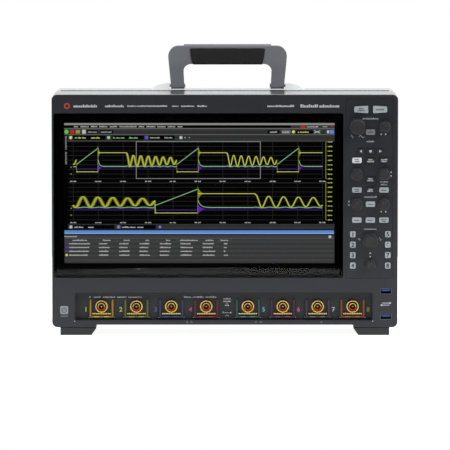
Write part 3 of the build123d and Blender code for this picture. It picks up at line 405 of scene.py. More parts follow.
# %% Give each CAD part its finish
FINISH_OF = {
    "front_bezel": bezel_plastic, "rear_cover": cover_plastic, "handle_frame": handle_plastic,
    "handle_grip": grip_rubber, "handle_pivots": pivot_painted_reflection, "feet": foot_plastic,
    "tilt_leg_left": foot_plastic, "tilt_leg_right": foot_plastic, "touch_glass": display_glass,
    "display_module": panel_back, "control_fascia": fascia_plastic, "control_board": board_green,
    "input_panel": bay_plastic, "channel_frames": bay_plastic, "input_connectors": connector_gold,
    "contact_strips": bay_plastic, "probe_terminals": bright_steel, "front_usb_ports": bright_steel,
    "chassis": sheet_steel, "acquisition_board": board_green, "power_supply": sheet_steel,
    "fan_frame": fan_plastic, "fan_rotor": fan_plastic, "rear_ports": port_steel,
    "power_inlet": inlet_plastic, "case_screws": screw_steel, "key_power": key_power_grey,
    "key_zoom": key_zoom_grey, "key_fine": key_white,
}
DARK_KEYS = {"key_navigate_back", "key_navigate_stop", "key_navigate_play", "key_clear_display",
             "key_default_setup", "key_touch_off", "key_auto_scale"}


def paint(node, *materials):
    """Replaces all of a part's materials."""
    slots = nodes[node].data.materials
    slots.clear()
    for material in materials:
        slots.append(material)


def paint_faces(node, materials, choose):
    """Each face takes the material that choose(x, depth, z, normal) picks by number."""
    paint(node, *materials)
    for face in nodes[node].data.polygons:
        x, y, z = face.center
        face.material_index = choose(x / MM, (y - FACE) / MM, z / MM, face.normal)


for name in nodes:
    if name in FINISH_OF:
        paint(name, FINISH_OF[name])
    elif name.startswith("knob"):
        paint(name, knob_plastic)
    else:
        paint(name, key_dark if name in DARK_KEYS else key_light)
print("painted parts:", len(nodes))

# %% [markdown]
# ## Channel colours
# Each input's surround is moulded in its channel's colour, and a lamp under the socket glows in a brighter
# tone of it. The printed number beside it is paler, because thin ink over dark plastic looks dull otherwise,
# and it glows faintly though it is only ink: a painted glow.

# %% Colours of the eight channels
FRAME_SHADES = [(146, 112, 28), (84, 92, 36), (33, 49, 84), (82, 20, 29),
                (33, 75, 73), (64, 26, 57), (58, 45, 63), (118, 61, 25)]
NUMBER_SHADES = [(176, 204, 66), (178, 202, 80), (70, 92, 136), (196, 74, 88),
                 (104, 172, 168), (190, 84, 150), (176, 176, 182), (150, 140, 44)]


def translucent(name, colour, glow):
    finish = Finish(name, Coat_Weight=0.1, Coat_Roughness=0.2, Specular_IOR_Level=0.3)
    finish.set(Emission_Strength=glow)
    cloud = finish.noise(2.5, 2.0)
    face = finish.vary(cloud, colour, 0.15, 0.1)
    finish.set(Base_Color=face, Emission_Color=face, Roughness=0.3 + cloud * 0.1)
    return finish.material


def one_for_each_channel(name, shades, glow):
    return [translucent(f"{name}_{n}", shade(*colour), glow) for n, colour in enumerate(shades, 1)]


frame_plastics = one_for_each_channel("channel_plastic", FRAME_SHADES, 0.0)
# The number ink glows a little though it is no lamp: painted light.
number_inks = one_for_each_channel("number_ink", NUMBER_SHADES, 0.1)
LAMP_SHADES = [[0.8 * f + 0.4 * k for f, k in zip(*pair)] for pair in zip(FRAME_SHADES, NUMBER_SHADES)]
channel_lamps = one_for_each_channel("channel_lamp", LAMP_SHADES, 0.2)

top_z = span_mm("front_bezel")[5]
# The top faces take the lighter, glossier copy: partly a painted highlight.
paint_faces("front_bezel", (bezel_plastic, bezel_top_highlight),
            lambda x, depth, z, normal: 1 if normal.z > 0.5 and z > top_z - 3 else 0)
# The handle's top faces take the darker copy, painted shade on the crest.
handle_z = span_mm("handle_frame")[5]
paint_faces("handle_frame", (handle_plastic, handle_top_shade),
            lambda x, depth, z, normal: 1 if normal.z > 0.7 and z > handle_z - 6 else 0)


def nearest_channel(x):
    return min(range(8), key=lambda n: abs(CHANNELS[n][0] - x))


paint_faces("channel_frames", frame_plastics, lambda x, depth, z, normal: nearest_channel(x))

COLLAR_INSIDE = 6.45     # just outside the collar's bore
BARREL_INSIDE = 3.7      # just inside the barrel's bore


def socket_face(x, depth, z, normal):
    """Bright gold on the collar and, as a painted highlight, on the barrel's upper rim; inside, a lit orange
    gold low down (painted light) and a dark gold high up (painted shade).
    """
    channel_x, channel_z = CHANNELS[nearest_channel(x)]
    radius = math.hypot(x - channel_x, z - channel_z)
    rim = normal.y < -0.9 and depth < 3.5 and radius > BARREL_INSIDE
    if radius > COLLAR_INSIDE or (rim and z > channel_z):
        return 0
    return 1 if z < channel_z - 0.6 else 2


paint_faces("input_connectors", (connector_gold, lower_gold_painted_light, shaded_gold), socket_face)

# %% [markdown]
# ## A printing press
# Legends, screen graphics and labels are flat ink. A texture would be the usual way, but ink as thin
# geometry stays sharp at any distance and can be measured. The Print class collects flat shapes in
# millimetres and lays them down at one depth. The back of the instrument is printed the same way with mirror
# set, so that its shapes face backwards.

# %% Print: flat shapes at one depth
class Print:
    def __init__(self, mirror=False):
        self.shapes = []
        self.mirror = mirror

    def shape(self, points):
        self.shapes.append(points)
        return self

    def bar(self, x, z, width, height):
        """A rectangle about a centre."""
        w, h = width / 2, height / 2
        return self.shape([(x - w, z - h), (x + w, z - h), (x + w, z + h), (x - w, z + h)])

    def area(self, x0, x1, z0, z1):
        return self.shape([(x0, z0), (x1, z0), (x1, z1), (x0, z1)])

    def disc(self, x, z, radius, sides=20):
        angles = [2 * math.pi * i / sides for i in range(sides)]
        return self.shape([(x + radius * math.cos(a), z + radius * math.sin(a)) for a in angles])

    def tile(self, x, z, width, height, radius):
        """A rounded rectangle."""
        points = []
        for quarter, (sx, sz) in enumerate(((1, 1), (-1, 1), (-1, -1), (1, -1))):
            for step in range(5):
                angle = math.pi / 2 * (quarter + step / 4)
                points.append((x + sx * (width / 2 - radius) + radius * math.cos(angle),
                               z + sz * (height / 2 - radius) + radius * math.sin(angle)))
        return self.shape(points)

    def line(self, points, width):
        """A ribbon of one width through points."""
        edges = []
        for i, (x, z) in enumerate(points):
            ax, az = points[max(i - 1, 0)]
            bx, bz = points[min(i + 1, len(points) - 1)]
            length = math.hypot(bx - ax, bz - az) or 1.0
            nx, nz = -(bz - az) / length * width / 2, (bx - ax) / length * width / 2
            edges.append(((x + nx, z + nz), (x - nx, z - nz)))
        for (a, b), (c, d) in zip(edges, edges[1:]):
            self.shape([b, d, c, a])
        return self

    def ring(self, x, z, radius, width, start=0.0, turn=360.0, sides=28):
        angles = [math.radians(start + turn * i / sides) for i in range(sides + 1)]
        points = [(x + radius * math.cos(a), z + radius * math.sin(a)) for a in angles]
        return self.line(points, width)

    def frame(self, x0, x1, z0, z1, width):
        """The outline of a rectangle."""
        self.area(x0, x1, z1 - width, z1)
        self.area(x0, x1, z0, z0 + width)
        self.area(x0, x0 + width, z0 + width, z1 - width)
        return self.area(x1 - width, x1, z0 + width, z1 - width)

    def arrow(self, x, z, size, turn):
        """A triangle that points right, turned by degrees."""
        angles = [math.radians(turn + 120 * i) for i in range(3)]
        return self.shape([(x + size * math.cos(a), z + size * math.sin(a)) for a in angles])

    def words(self, x, z, widths, height, gap=None, seed=1):
        """Marks that read as a line of small print without being letters, starting at x."""
        chance = random.Random(seed)
        gap = height * 0.55 if gap is None else gap
        for width in widths:
            end = x + width
            while x < end - height * 0.2:
                stroke = height * chance.choice((0.34, 0.42, 0.5))
                tall = height * chance.choice((0.66, 0.66, 0.72, 1.0))
                self.area(x, min(x + stroke, end), z - height / 2, z - height / 2 + tall)
                x += stroke + height * 0.17
            x = end + gap
        return self

    def lay(self, name, depth, material, body, slot=None):
        """Makes the object, at a depth behind the front face, riding on a body."""
        mesh = bpy.data.meshes.new(name)
        points = [at(x, depth, z) for shape in self.shapes for x, z in shape]
        faces, start = [], 0
        for shape in self.shapes:
            face = list(range(start, start + len(shape)))
            faces.append(face[::-1] if self.mirror else face)
            start += len(shape)
        mesh.from_pydata(points, [], faces)
        mesh.materials.append(material)
        return mount(bpy.data.objects.new(name, mesh), body, slot)


def mount(made, body, slot=None):
    """Puts a new piece in the scene, riding on a body."""
    bpy.context.scene.collection.objects.link(made)
    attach(made, body)
    return made


# %% [markdown]
# ## The display
# Behind the glass lies the panel. Its picture is built as thin layers of lit ink, one for each colour, a few
# hundredths of a millimetre apart, from the dark background up to the bright traces. Each layer glows by
# itself, as a lit panel does, with the very fine rows of a panel in its brightness.

# %% Lit inks
ROW_PITCH = 0.179        # a row of the panel
STRIPE_PITCH = 5.9       # a shaded band of a tool bar


def lit(name, colour, stripes=0.0):
    """A glowing ink. Stripes vary its brightness up the screen, as shaded tool bars have."""
    finish = Finish(name, Base_Color=(0, 0, 0, 1), Roughness=0.6, Specular_IOR_Level=0.0)
    rows = (finish.axis("Z") * (2 * math.pi / ROW_PITCH)).sine()
    bright = rows * 0.04 + 0.5
    if stripes:
        bright = bright + (finish.axis("Z") * (2 * math.pi / STRIPE_PITCH)).sine() * stripes
    finish.set(Emission_Color=finish.vary(bright, colour, 0.5, 0.5), Emission_Strength=1.0)
    return finish.material


screen_black = lit("screen_black", shade(3, 3, 3))
panel_grey = lit("panel_grey", shade(50, 50, 51), stripes=0.12)
table_grey = lit("table_grey", shade(60, 60, 61), stripes=0.16)
rule_grey = lit("rule_grey", shade(98, 98, 98))
title_grey = lit("title_grey", shade(140, 139, 137))
grid_grey = lit("grid_grey", shade(42, 42, 44))
window_grey = lit("window_grey", shade(136, 136, 136))
text_white = lit("text_white", shade(186, 186, 184))
trace_yellow = lit("trace_yellow", shade(208, 214, 96))
dull_yellow = lit("dull_yellow", shade(128, 130, 28))
trace_green = lit("trace_green", shade(150, 196, 140))
trace_purple = lit("trace_purple", shade(92, 34, 176))
dim_purple = lit("dim_purple", shade(48, 26, 108))
bar_blue = lit("bar_blue", shade(88, 134, 212))
pale_blue = lit("pale_blue", shade(140, 174, 232))
icon_green = lit("icon_green", shade(92, 196, 68))
icon_red = lit("icon_red", shade(176, 46, 38))
icon_olive = lit("icon_olive", shade(148, 140, 62))
icon_violet = lit("icon_violet", shade(104, 76, 196))
icon_lilac = lit("icon_lilac", shade(128, 122, 178))

# %% [markdown]
# ### Where the picture lies
# The panel's lit area is 344 mm wide. Screen places are given in millimetres from its top left corner, u to
# the right and v down, and turned into the instrument's own x and z. The layers share the narrow gap between
# panel and glass.

# %% Screen places and layers
glass_x0, glass_x1, _, glass_back, glass_z0, glass_z1 = span_mm("touch_glass")
panel_front = span_mm("display_module")[2]
LIT_WIDTH = 344.2
LIT_HEIGHT = 185.0
EDGE = 0.8               # the bars stop this far from the lit area's left side
left = (glass_x0 + glass_x1) / 2 + 0.8 - LIT_WIDTH / 2
top = glass_z1 - 12.3
layer_step = (panel_front - glass_back) / 9


def layer(number):
    """The depth of a layer: 1 is next to the panel, 8 next to the glass."""
    return panel_front - number * layer_step


class Screen(Print):
    """A print whose shapes are given in screen places."""

    def shape(self, points):
        self.shapes.append([(left + u, top - v) for u, v in points][::-1])
        return self

    def words(self, u, v, widths, height, gap=None, seed=1):
        upright = Print().words(u, -v, widths, height, gap, seed)
        for points in upright.shapes:
            self.shape([(x, -z) for x, z in points][::-1])
        return self


def show(picture, name, number, material):
    return picture.lay(f"screen_{name}", layer(number), material, "case", "display_panel")


print("lit area starts at", round(left, 1), round(top, 1), "mm; layers", round(layer_step, 3), "mm apart")

# %% Border paint, background and tool bars
border = Print()
border.area(glass_x0 + 0.5, left, glass_z0 + 0.5, glass_z1 - 0.5)
border.area(left + LIT_WIDTH, glass_x1 - 0.5, glass_z0 + 0.5, glass_z1 - 0.5)
border.area(left, left + LIT_WIDTH, top, glass_z1 - 0.5)
border.area(left, left + LIT_WIDTH, glass_z0 + 0.5, top - LIT_HEIGHT)
border.lay("glass_border_paint", glass_back + 0.02, border_paint, "case", "display_glass")

show(Screen().area(0, LIT_WIDTH, 0, LIT_HEIGHT), "background", 1, screen_black)

TABLE_TOP, TABLE_BOTTOM = 142.2, 178.8
GRAPH_LEFT, GRAPH_RIGHT = 12.2, 329.0
bars = Screen()
bars.area(EDGE, LIT_WIDTH, 8.3, 14.6)
bars.area(5.4, LIT_WIDTH, 14.9, 23.0).area(288.7, LIT_WIDTH, 2.8, 6.4)
bars.area(5.4, LIT_WIDTH, 129.3, 135.8)
show(bars, "tool_bars", 2, panel_grey)
show(Screen().area(EDGE, LIT_WIDTH, TABLE_TOP, TABLE_BOTTOM), "table_panel", 2, table_grey)

rules = Screen()
rules.area(EDGE, LIT_WIDTH, 6.5, 8.0)
rules.area(EDGE, LIT_WIDTH, 14.3, 15.2)
rules.area(EDGE, LIT_WIDTH - 0.2, 147.3, 147.7)
for u in (41.0, 67.4, 93.4, 119.2, 144.9, 173.1, 197.3, 212.6):
    rules.area(u - 0.15, u + 0.15, 147.6, 151.2)
rules.area(5.4, LIT_WIDTH, 23.0, 23.3)
rules.area(5.4, LIT_WIDTH, 129.0, 129.3)
show(rules, "rules", 3, rule_grey)

title = Screen().area(EDGE, LIT_WIDTH, 0.2, 2.8)
show(title, "title_bar", 3, title_grey)

boxes = Screen()
boxes.area(29.5, 44.0, 9.3, 13.6)
boxes.area(46.0, 63.0, 9.3, 13.6)
boxes.area(259.0, 274.0, 9.3, 13.6)
boxes.area(295.0, 316.8, 9.3, 13.6)
for u0, u1 in ((12.0, 53.2), (61.0, 102.0), (108.5, 141.0)):
    boxes.area(u0, u1, 15.9, 21.6)
for u0, u1 in ((12.0, 64.5), (73.0, 117.0)):
    boxes.area(u0, u1, 130.0, 135.2)
show(boxes, "text_boxes", 4, screen_black)

# %% Small print and icons on the screen
MENU_WORDS = (5.7, 10.8, 7.9, 10.6, 9.9, 21.6, 7.4, 11.4, 10.5, 9.7, 6.3)
BAR_PRINT = ((31.0, 11.5, (5.0, 5.6), 1.5), (47.5, 11.5, (7.0, 5.6), 1.5), (262.0, 11.5, (9.6,), 2.0),
             (277.5, 11.5, (9.4,), 1.8), (309.0, 4.8, (6.0, 7.4), 1.7), (329.0, 4.8, (6.0,), 1.2),
             (109.8, 18.8, (5.6, 5.8), 1.6), (128.2, 18.8, (4.4, 4.8), 1.6), (13.5, 132.8, (5.0, 5.6), 2.0),
             (31.0, 132.8, (7.2,), 2.0), (74.0, 132.8, (9.2, 7.0), 2.0), (93.4, 132.8, (7.8,), 2.0),
             (0.8, 144.6, (16.4,), 1.7))
TABLE_TITLES = ((11.1, 18.8), (49.8, 9.7), (76.0, 8.0), (103.9, 4.6), (130.1, 5.0), (147.7, 22.6),
                (180.2, 10.6), (199.6, 9.4))
TABLE_COLUMNS = ((6.6, 27.0), (44.7, 13.5), (70.5, 13.5), (96.3, 13.5), (122.2, 14.5), (148.5, 16.0),
                 (176.8, 16.0), (203.6, 5.6))
small = Screen().words(13.2, 4.6, MENU_WORDS, 1.8, gap=2.6, seed=3)
for seed, (u, v, widths, height) in enumerate(BAR_PRINT, 4):
    small.words(u, v, widths, height, seed=seed)
for seed, (u, width) in enumerate(TABLE_TITLES, 20):
    small.words(u, 149.5, (width,), 1.7, seed=seed)
for row, v in enumerate((153.8, 158.6, 163.5, 168.4)):
    for column, (u, width) in enumerate(TABLE_COLUMNS):
        small.words(u, v, (width - (row * 5 + column * 3) % 4,), 1.9, seed=40 + row * 8 + column)
show(small, "small_print", 6, text_white)

side_print = Screen()
for v0, v1 in ((16.8, 33.0), (37.0, 52.7)):
    v = v0
    while v < v1:
        side_print.area(2.0, 4.2 if round(v * 7) % 3 else 3.4, v, v + 0.95)
        v += 1.45
show(side_print, "side_print", 6, window_grey)

show(Screen().disc(3.7, 11.2, 2.7).area(1.6, 6.0, 10.6, 11.0), "icon_green", 5, icon_green)
reds = Screen().tile(11.1, 11.2, 5.4, 4.6, 0.8).tile(304.0, 5.4, 6.2, 3.2, 0.6).disc(341.0, 4.6, 1.1)
show(reds, "icon_red", 5, icon_red)
show(Screen().tile(18.2, 11.2, 5.6, 4.6, 0.8), "icon_olive", 5, icon_olive)
whites = Screen().tile(25.9, 11.2, 4.6, 5.2, 0.6).disc(9.0, 132.6, 2.0).disc(338.5, 145.2, 1.9)
whites.disc(149.1, 18.7, 2.1).arrow(154.2, 18.7, 1.1, 0).arrow(160.0, 18.7, 1.0, 0)
whites.line([(318.0, 9.6), (326.0, 13.2)], 0.9).line([(318.0, 13.2), (326.0, 9.6)], 0.9)
whites.area(334.4, 337.4, 9.4, 13.2)
show(whites, "white_marks", 5, text_white)
standby = Screen().tile(94.6, 186.2, 2.2, 0.6, 0.3)
standby.lay("glass_lamp", glass_back + 0.01, text_white, "case", "display_glass")
show(Screen().area(338.2, 343.4, 8.9, 13.8), "icon_blue", 5, bar_blue)
show(Screen().tile(282.6, 11.3, 11.6, 5.0, 0.8), "button", 4, rule_grey)

yellows = Screen().disc(9.1, 18.6, 2.0).disc(291.9, 11.3, 1.9).disc(3.4, 168.4, 1.5)
yellows.words(14.5, 18.8, (2.6, 4.6, 4.6), 2.0, seed=60).words(35.0, 18.8, (5.4, 4.6), 2.0, seed=61)
yellows.words(297.5, 11.5, (2.0, 11.0), 1.8, seed=62)
show(yellows, "yellow_marks", 6, trace_yellow)
greens = Screen().disc(57.2, 18.6, 2.0).words(62.9, 18.8, (2.6, 5.0, 4.6), 2.0, seed=63)
greens.words(83.0, 18.8, (5.6, 4.8), 2.0, seed=64)
show(greens, "green_marks", 6, trace_green)
show(Screen().disc(105.4, 18.6, 2.1), "purple_dot", 6, icon_violet)
show(Screen().disc(69.7, 132.6, 2.0).disc(122.3, 132.6, 1.7), "lilac_dots", 6, icon_lilac)
row_dots = Screen().disc(3.4, 153.8, 1.3).disc(3.4, 158.6, 1.3).disc(3.4, 163.5, 1.3)
show(row_dots, "table_dots", 6, trace_purple)
show(Screen().area(EDGE, LIT_WIDTH - 0.6, 136.9, 140.2), "blue_bar", 4, bar_blue)
show(Screen().area(EDGE, LIT_WIDTH - 0.6, 140.2, 141.4), "blue_bar_edge", 4, pale_blue)

# %% [markdown]
# ### The two graphs
# The upper graph shows three signals over a long time, and the light frame on it marks the stretch that the
# lower graph shows at twice the width. So both are drawn by the same functions of time, and only the mapping
# differs. The supply rail (yellow) waits low, jumps with a ringing spike, holds, then swings and dies away.

# %% Signals as functions of time, in screen millimetres of the upper graph
PERIOD = 127.5
START = 16.2
RISE, SWING = 27.3, 63.2
SWING_PERIOD = 9.45


def since_start(time):
    return (time - START) % PERIOD


def rail(time):
    """Height of the yellow signal."""
    t = since_start(time)
    if t < RISE:
        return 62.2
    if t < SWING:
        return 37.9
    fade = 7.7 - 3.5 * (t - SWING) / (PERIOD - SWING)
    wave = 48.4 - fade * math.cos(2 * math.pi * (t - 72.4) / SWING_PERIOD)
    blend = min(1.0, (t - SWING) / 4.4)
    return 37.9 * (1 - blend) + wave * blend if blend < 1 else wave


def current(time):
    """Height of the green signal: a ramp, then a quick fall to its rest level."""
    t = since_start(time)
    if t < RISE:
        return 52.9 - 20.7 * t / RISE
    settle = 55.3 - 10.0 * math.exp(-(t - RISE) / 1.6)
    return settle + (0.4 * math.sin(2 * math.pi * t / SWING_PERIOD) if t > SWING else 0.0)


def power(time):
    """Height of the purple signal."""
    return 58.4 if since_start(time) < RISE else 57.3


# %% Graph frames, grids and rulers
class Graph:
    """One graph: its height range on the screen and the stretch of time that it shows."""

    def __init__(self, name, v_top, v_bottom, time0, time1):
        self.name, self.v_top, self.v_bottom = name, v_top, v_bottom
        self.time0, self.time1 = time0, time1
        self.scale = (GRAPH_RIGHT - GRAPH_LEFT) / (time1 - time0)

    def u(self, time):
        return GRAPH_LEFT + (time - self.time0) * self.scale

    def v(self, height):
        return self.v_top + (height - 24.0) / 46.9 * (self.v_bottom - self.v_top)

    def trace(self, signal, width, step=0.35):
        """Ribbons through a signal, one for each stretch without a jump."""
        picture, points = Screen(), []
        count = int((self.time1 - self.time0) / step)
        for i in range(count + 1):
            time = self.time0 + step * i
            t = since_start(time)
            jump = points and (t < since_start(time - step) or t - step < RISE <= t)
            if jump:
                picture.line(points, width)
                points = []
            points.append((self.u(time), self.v(signal(time))))
        return picture.line(points, width)


WINDOW = (91.9, 250.3)
graphs = (Graph("upper", 24.0, 70.9, GRAPH_LEFT, GRAPH_RIGHT), Graph("lower", 76.0, 123.5, *WINDOW))
grid, marks, side_marks, ticks = Screen(), Screen(), Screen(), Screen()
for graph in graphs:
    for i in range(11):
        u = GRAPH_LEFT + (GRAPH_RIGHT - GRAPH_LEFT) * i / 10
        grid.area(u - 0.25, u + 0.25, graph.v_top, graph.v_bottom)
        marks.words(u - 4.0, graph.v_bottom + 3.4, (3.2, 3.8), 1.6, seed=70 + i)
    for i in range(9):
        v = graph.v_top + (graph.v_bottom - graph.v_top) * i / 8
        grid.area(6.0, GRAPH_RIGHT, v - 0.25, v + 0.25)
        side_marks.words(336.0, v, (2.2, 2.6), 1.4, seed=90 + i)
        ticks.area(333.4, 335.2, v - 0.35, v + 0.35)
    grid.area(6.0, LIT_WIDTH - 2, graph.v_bottom + 5.6, graph.v_bottom + 6.0)
    ticks.area(332.6, 333.2, graph.v_top, graph.v_bottom)
    for i in range(33):
        v = graph.v_top + (graph.v_bottom - graph.v_top) * i / 32
        ticks.area(333.4, 334.3, v - 0.15, v + 0.15)
    ticks.disc(9.4, graph.v(56.4), 0.9).disc(9.4, graph.v(65.0), 0.9)
    ticks.words(15.0, graph.v(56.4), (0.5,), 0.5)
show(grid, "grid", 3, grid_grey)
show(marks, "scale_marks", 6, text_white)
show(side_marks, "side_marks", 6, trace_yellow)
show(ticks, "rulers", 5, dull_yellow)
window = Screen().frame(WINDOW[0], WINDOW[1], 23.4, 71.2, 0.75)
show(window, "window_frame", 7, window_grey)


# %% Traces and their bursts
def burst(graph, signal, reach, length, both=1.0, fall=2):
    """The filled fan where a signal rings: tall at its start, closing on the settled level. A higher fall
    closes it sooner."""
    picture = Screen()
    for cycle in range(-1, 4):
        time = START + cycle * PERIOD + RISE
        if not graph.time0 <= time <= graph.time1:
            continue
        level = graph.v(signal(time + length + 1))
        upper, lower = [], []
        for i in range(13):
            share = i / 12
            tall = reach * (1 - share) ** fall
            upper.append((graph.u(time + length * share), level - tall))
            lower.append((graph.u(time + length * share), level + tall * both))
        for i in range(12):
            picture.shape([lower[i], lower[i + 1], upper[i + 1], upper[i]])
    return picture


def swings(graph, width):
    """Dim ribbons under the yellow signal where it swings. They spread sideways, as a signal that isn't
    steady in time does, and most in the first cycle."""
    picture = Screen()
    for cycle in range(-1, 4):
        first = START + cycle * PERIOD + SWING
        first, last = max(first, graph.time0), min(first + PERIOD - SWING - 0.3, graph.time1)
        count = int((last - first) / 0.35)
        spread = 0.42 if cycle == 0 else 0.13
        if count > 1:
            times = [first + 0.35 * i for i in range(count + 1)]
            for late in (-2, -1, 0, 1, 2):
                shift = late * spread * graph.scale
                picture.line([(graph.u(t) + shift, graph.v(rail(t))) for t in times], width)
    return picture


def drops(graph, width):
    """The near-vertical strokes where the yellow signal falls and jumps."""
    picture = Screen()
    for cycle in range(-1, 4):
        fall = START + cycle * PERIOD
        rise = fall + RISE
        if graph.time0 <= fall <= graph.time1:
            u = graph.u(fall)
            picture.line([(u - 0.3, graph.v(50.0)), (u, graph.v(58.0)), (u + 0.7, graph.v(62.4))], width)
            picture.disc(u + 0.7, graph.v(62.2), 1.2)
        if graph.time0 <= rise <= graph.time1:
            u = graph.u(rise)
            picture.line([(u, graph.v(63.6)), (u, graph.v(29.6))], width)
    return picture


for graph in graphs:
    wide = 1.0 if graph.scale < 1.5 else 1.4
    show(graph.trace(power, 1.0 * wide), f"purple_trace_{graph.name}", 4, dim_purple)
    show(burst(graph, rail, 8.4, 5.4, both=0.95, fall=3), f"yellow_burst_{graph.name}", 5, dull_yellow)
    show(burst(graph, power, 5.6, 5.4), f"purple_burst_{graph.name}", 6, trace_purple)
    show(graph.trace(current, 0.75), f"green_trace_{graph.name}", 6, trace_green)
    show(swings(graph, 1.2), f"yellow_swing_{graph.name}", 7, dull_yellow)
    show(graph.trace(rail, 0.68), f"yellow_trace_{graph.name}", 8, trace_yellow)
    show(drops(graph, 0.6), f"yellow_strokes_{graph.name}", 7, dull_yellow)

# %% [markdown]
# ## Legends
# Printed legends sit a hair above the plastic. Words become small bars of the same size, so that nothing can
# be read, while arrows, waves and numbers keep their meaning.

# %% Inks for print on plastic
def ink(name, colour, roughness=0.5):
    """Screen-printed ink: a little uneven at its own scale."""
    finish = Finish(name)
    blot = finish.noise(0.6, 3.0)
    finish.set(Base_Color=finish.vary(blot, colour, 0.12, 0.08), Roughness=roughness + blot * 0.1)
    return finish.material


ink_white = ink("ink_white", shade(186, 188, 190))
ink_soft = ink("ink_soft", shade(150, 152, 155))
ink_grey = ink("ink_grey", shade(118, 120, 124))
ink_dark = ink("ink_dark", shade(28, 31, 35))
ink_red = ink("ink_red", shade(176, 52, 44))
plate_black = ink("plate_black", shade(20, 16, 14), 0.4)
INK_LIFT = 0.03

# %% Header strip above the glass
header_z = (glass_z1 + span_mm("front_bezel")[5]) / 2 - 2.6
Print().ring(-200.4, header_z, 3.0, 1.6).lay("header_mark", -INK_LIFT, ink_red, "case", "bezel_plastic")
header = Print().words(-192.0, header_z, (30.0,), 3.6, seed=101)
header.words(-152.2, header_z, (24.4,), 3.0, seed=102)
header.words(-123.5, header_z, (10.5, 12.5, 25.0), 2.1, seed=103)
header.words(-66.8, header_z, (8.0, 17.0, 12.0), 2.1, gap=3.4, seed=104)
header.lay("header_print", -INK_LIFT, ink_white, "case", "bezel_plastic")
series = Print().words(54.0, header_z, (34.5,), 2.6, seed=105)
series.words(96.0, header_z, (22.0, 25.0), 3.8, seed=106)
series.lay("header_series", -INK_LIFT, ink_white, "case", "bezel_plastic")

# %% Control column legends
fascia_front = span_mm("control_fascia")[2]
column_x, _, _ = centre_mm("key_zoom")
zoom_z = centre_mm("key_zoom")[1]
scale_x, scale_z, _ = centre_mm("knob_time_scale")
shift_x, shift_z, _ = centre_mm("knob_time_position")
level_x, level_z, _ = centre_mm("knob_trigger_level")
left_marker_x, marker_z, _ = centre_mm("knob_marker_left")
right_marker_x = centre_mm("knob_marker_right")[0]
volts_x, volts_z, _ = centre_mm("knob_vertical_scale")
offset_x, offset_z, _ = centre_mm("knob_vertical_offset")
run_z = centre_mm("key_run_stop")[1]
store_z = centre_mm("key_store_centre")[1]


def wave(picture, x, z, width, height, cycles, thick=0.45):
    """A little zigzag, as on a scale knob."""
    start, halves = x - width / 2, cycles * 2
    points = [(start, z)]
    for i in range(halves):
        points.append((start + width * (i + 0.5) / halves, z + height / 2 * (-1) ** i))
    points.append((x + width / 2, z))
    picture.line(points, thick)


def upright(picture, x, z_up, z_down, size=1.4):
    """An arrow up over an arrow down."""
    picture.arrow(x, z_up, size, 90).arrow(x, z_down, size, -90)


def sideways(picture, x_left, x_right, z, size=1.4):
    """An arrow left beside an arrow right."""
    picture.arrow(x_left, z, size, 180).arrow(x_right, z, size, 0)


titles = Print().words(column_x - 10.5, run_z - 11.6, (20.5,), 2.2, seed=110)
titles.words(column_x - 4.8, zoom_z - 11.8, (10.0,), 2.2, seed=111)
legends = Print()
wave(legends, scale_x - 7.2, scale_z - 12.6, 3.2, 4.4, 1)
wave(legends, scale_x + 4.9, scale_z - 12.6, 7.0, 3.4, 1)
sideways(legends, shift_x - 5.0, shift_x + 0.8, shift_z - 9.6, 1.5)
upright(legends, level_x + 9.0, level_z + 2.6, level_z - 1.8)
titles.words(level_x - 5.0, level_z - 9.6, (10.0,), 1.9, seed=112)
titles.words(level_x - 4.0, level_z - 13.0, (8.0,), 1.9, seed=113)
titles.words(column_x - 8.0, marker_z + 9.2, (16.0,), 2.3, seed=114)
upright(legends, left_marker_x - 10.0, marker_z + 3.2, marker_z - 1.2)
sideways(legends, right_marker_x - 3.4, right_marker_x + 2.2, marker_z - 9.8)
titles.words(column_x - 8.0, store_z - 11.4, (16.0,), 2.3, seed=115)
wave(legends, volts_x - 14.2, volts_z + 1.6, 3.4, 2.4, 1)
wave(legends, volts_x + 12.6, volts_z + 1.6, 3.4, 4.8, 1)
upright(legends, offset_x, offset_z + 14.2, offset_z + 9.9)
legends.lay("column_legends", fascia_front - INK_LIFT, ink_white, "case", "fascia_plastic")
titles.lay("column_titles", fascia_front - INK_LIFT, ink_soft, "case", "fascia_plastic")


# %% Legends on the keys, which move with them
def number_shape(text, x, z, height, depth, material, name, body, slot, weight=0.018):
    """A digit as flat ink, from Blender's own plain font."""
    curve = bpy.data.curves.new(name, "FONT")
    curve.body = text
    curve.size = height / 0.69 * MM
    curve.align_x = "CENTER"
    curve.offset = height * weight * MM
    made = bpy.data.objects.new(name + "_text", curve)
    bpy.context.scene.collection.objects.link(made)
    made.location = at(x, depth, z - height / 2)
    made.rotation_euler = (math.pi / 2, 0, 0)
    bpy.context.view_layer.update()
    mesh = bpy.data.meshes.new_from_object(made)
    mesh.transform(made.matrix_world)
    bpy.data.objects.remove(made)
    mesh.materials.clear()
    mesh.materials.append(material)
    return mount(bpy.data.objects.new(name, mesh), body, slot)


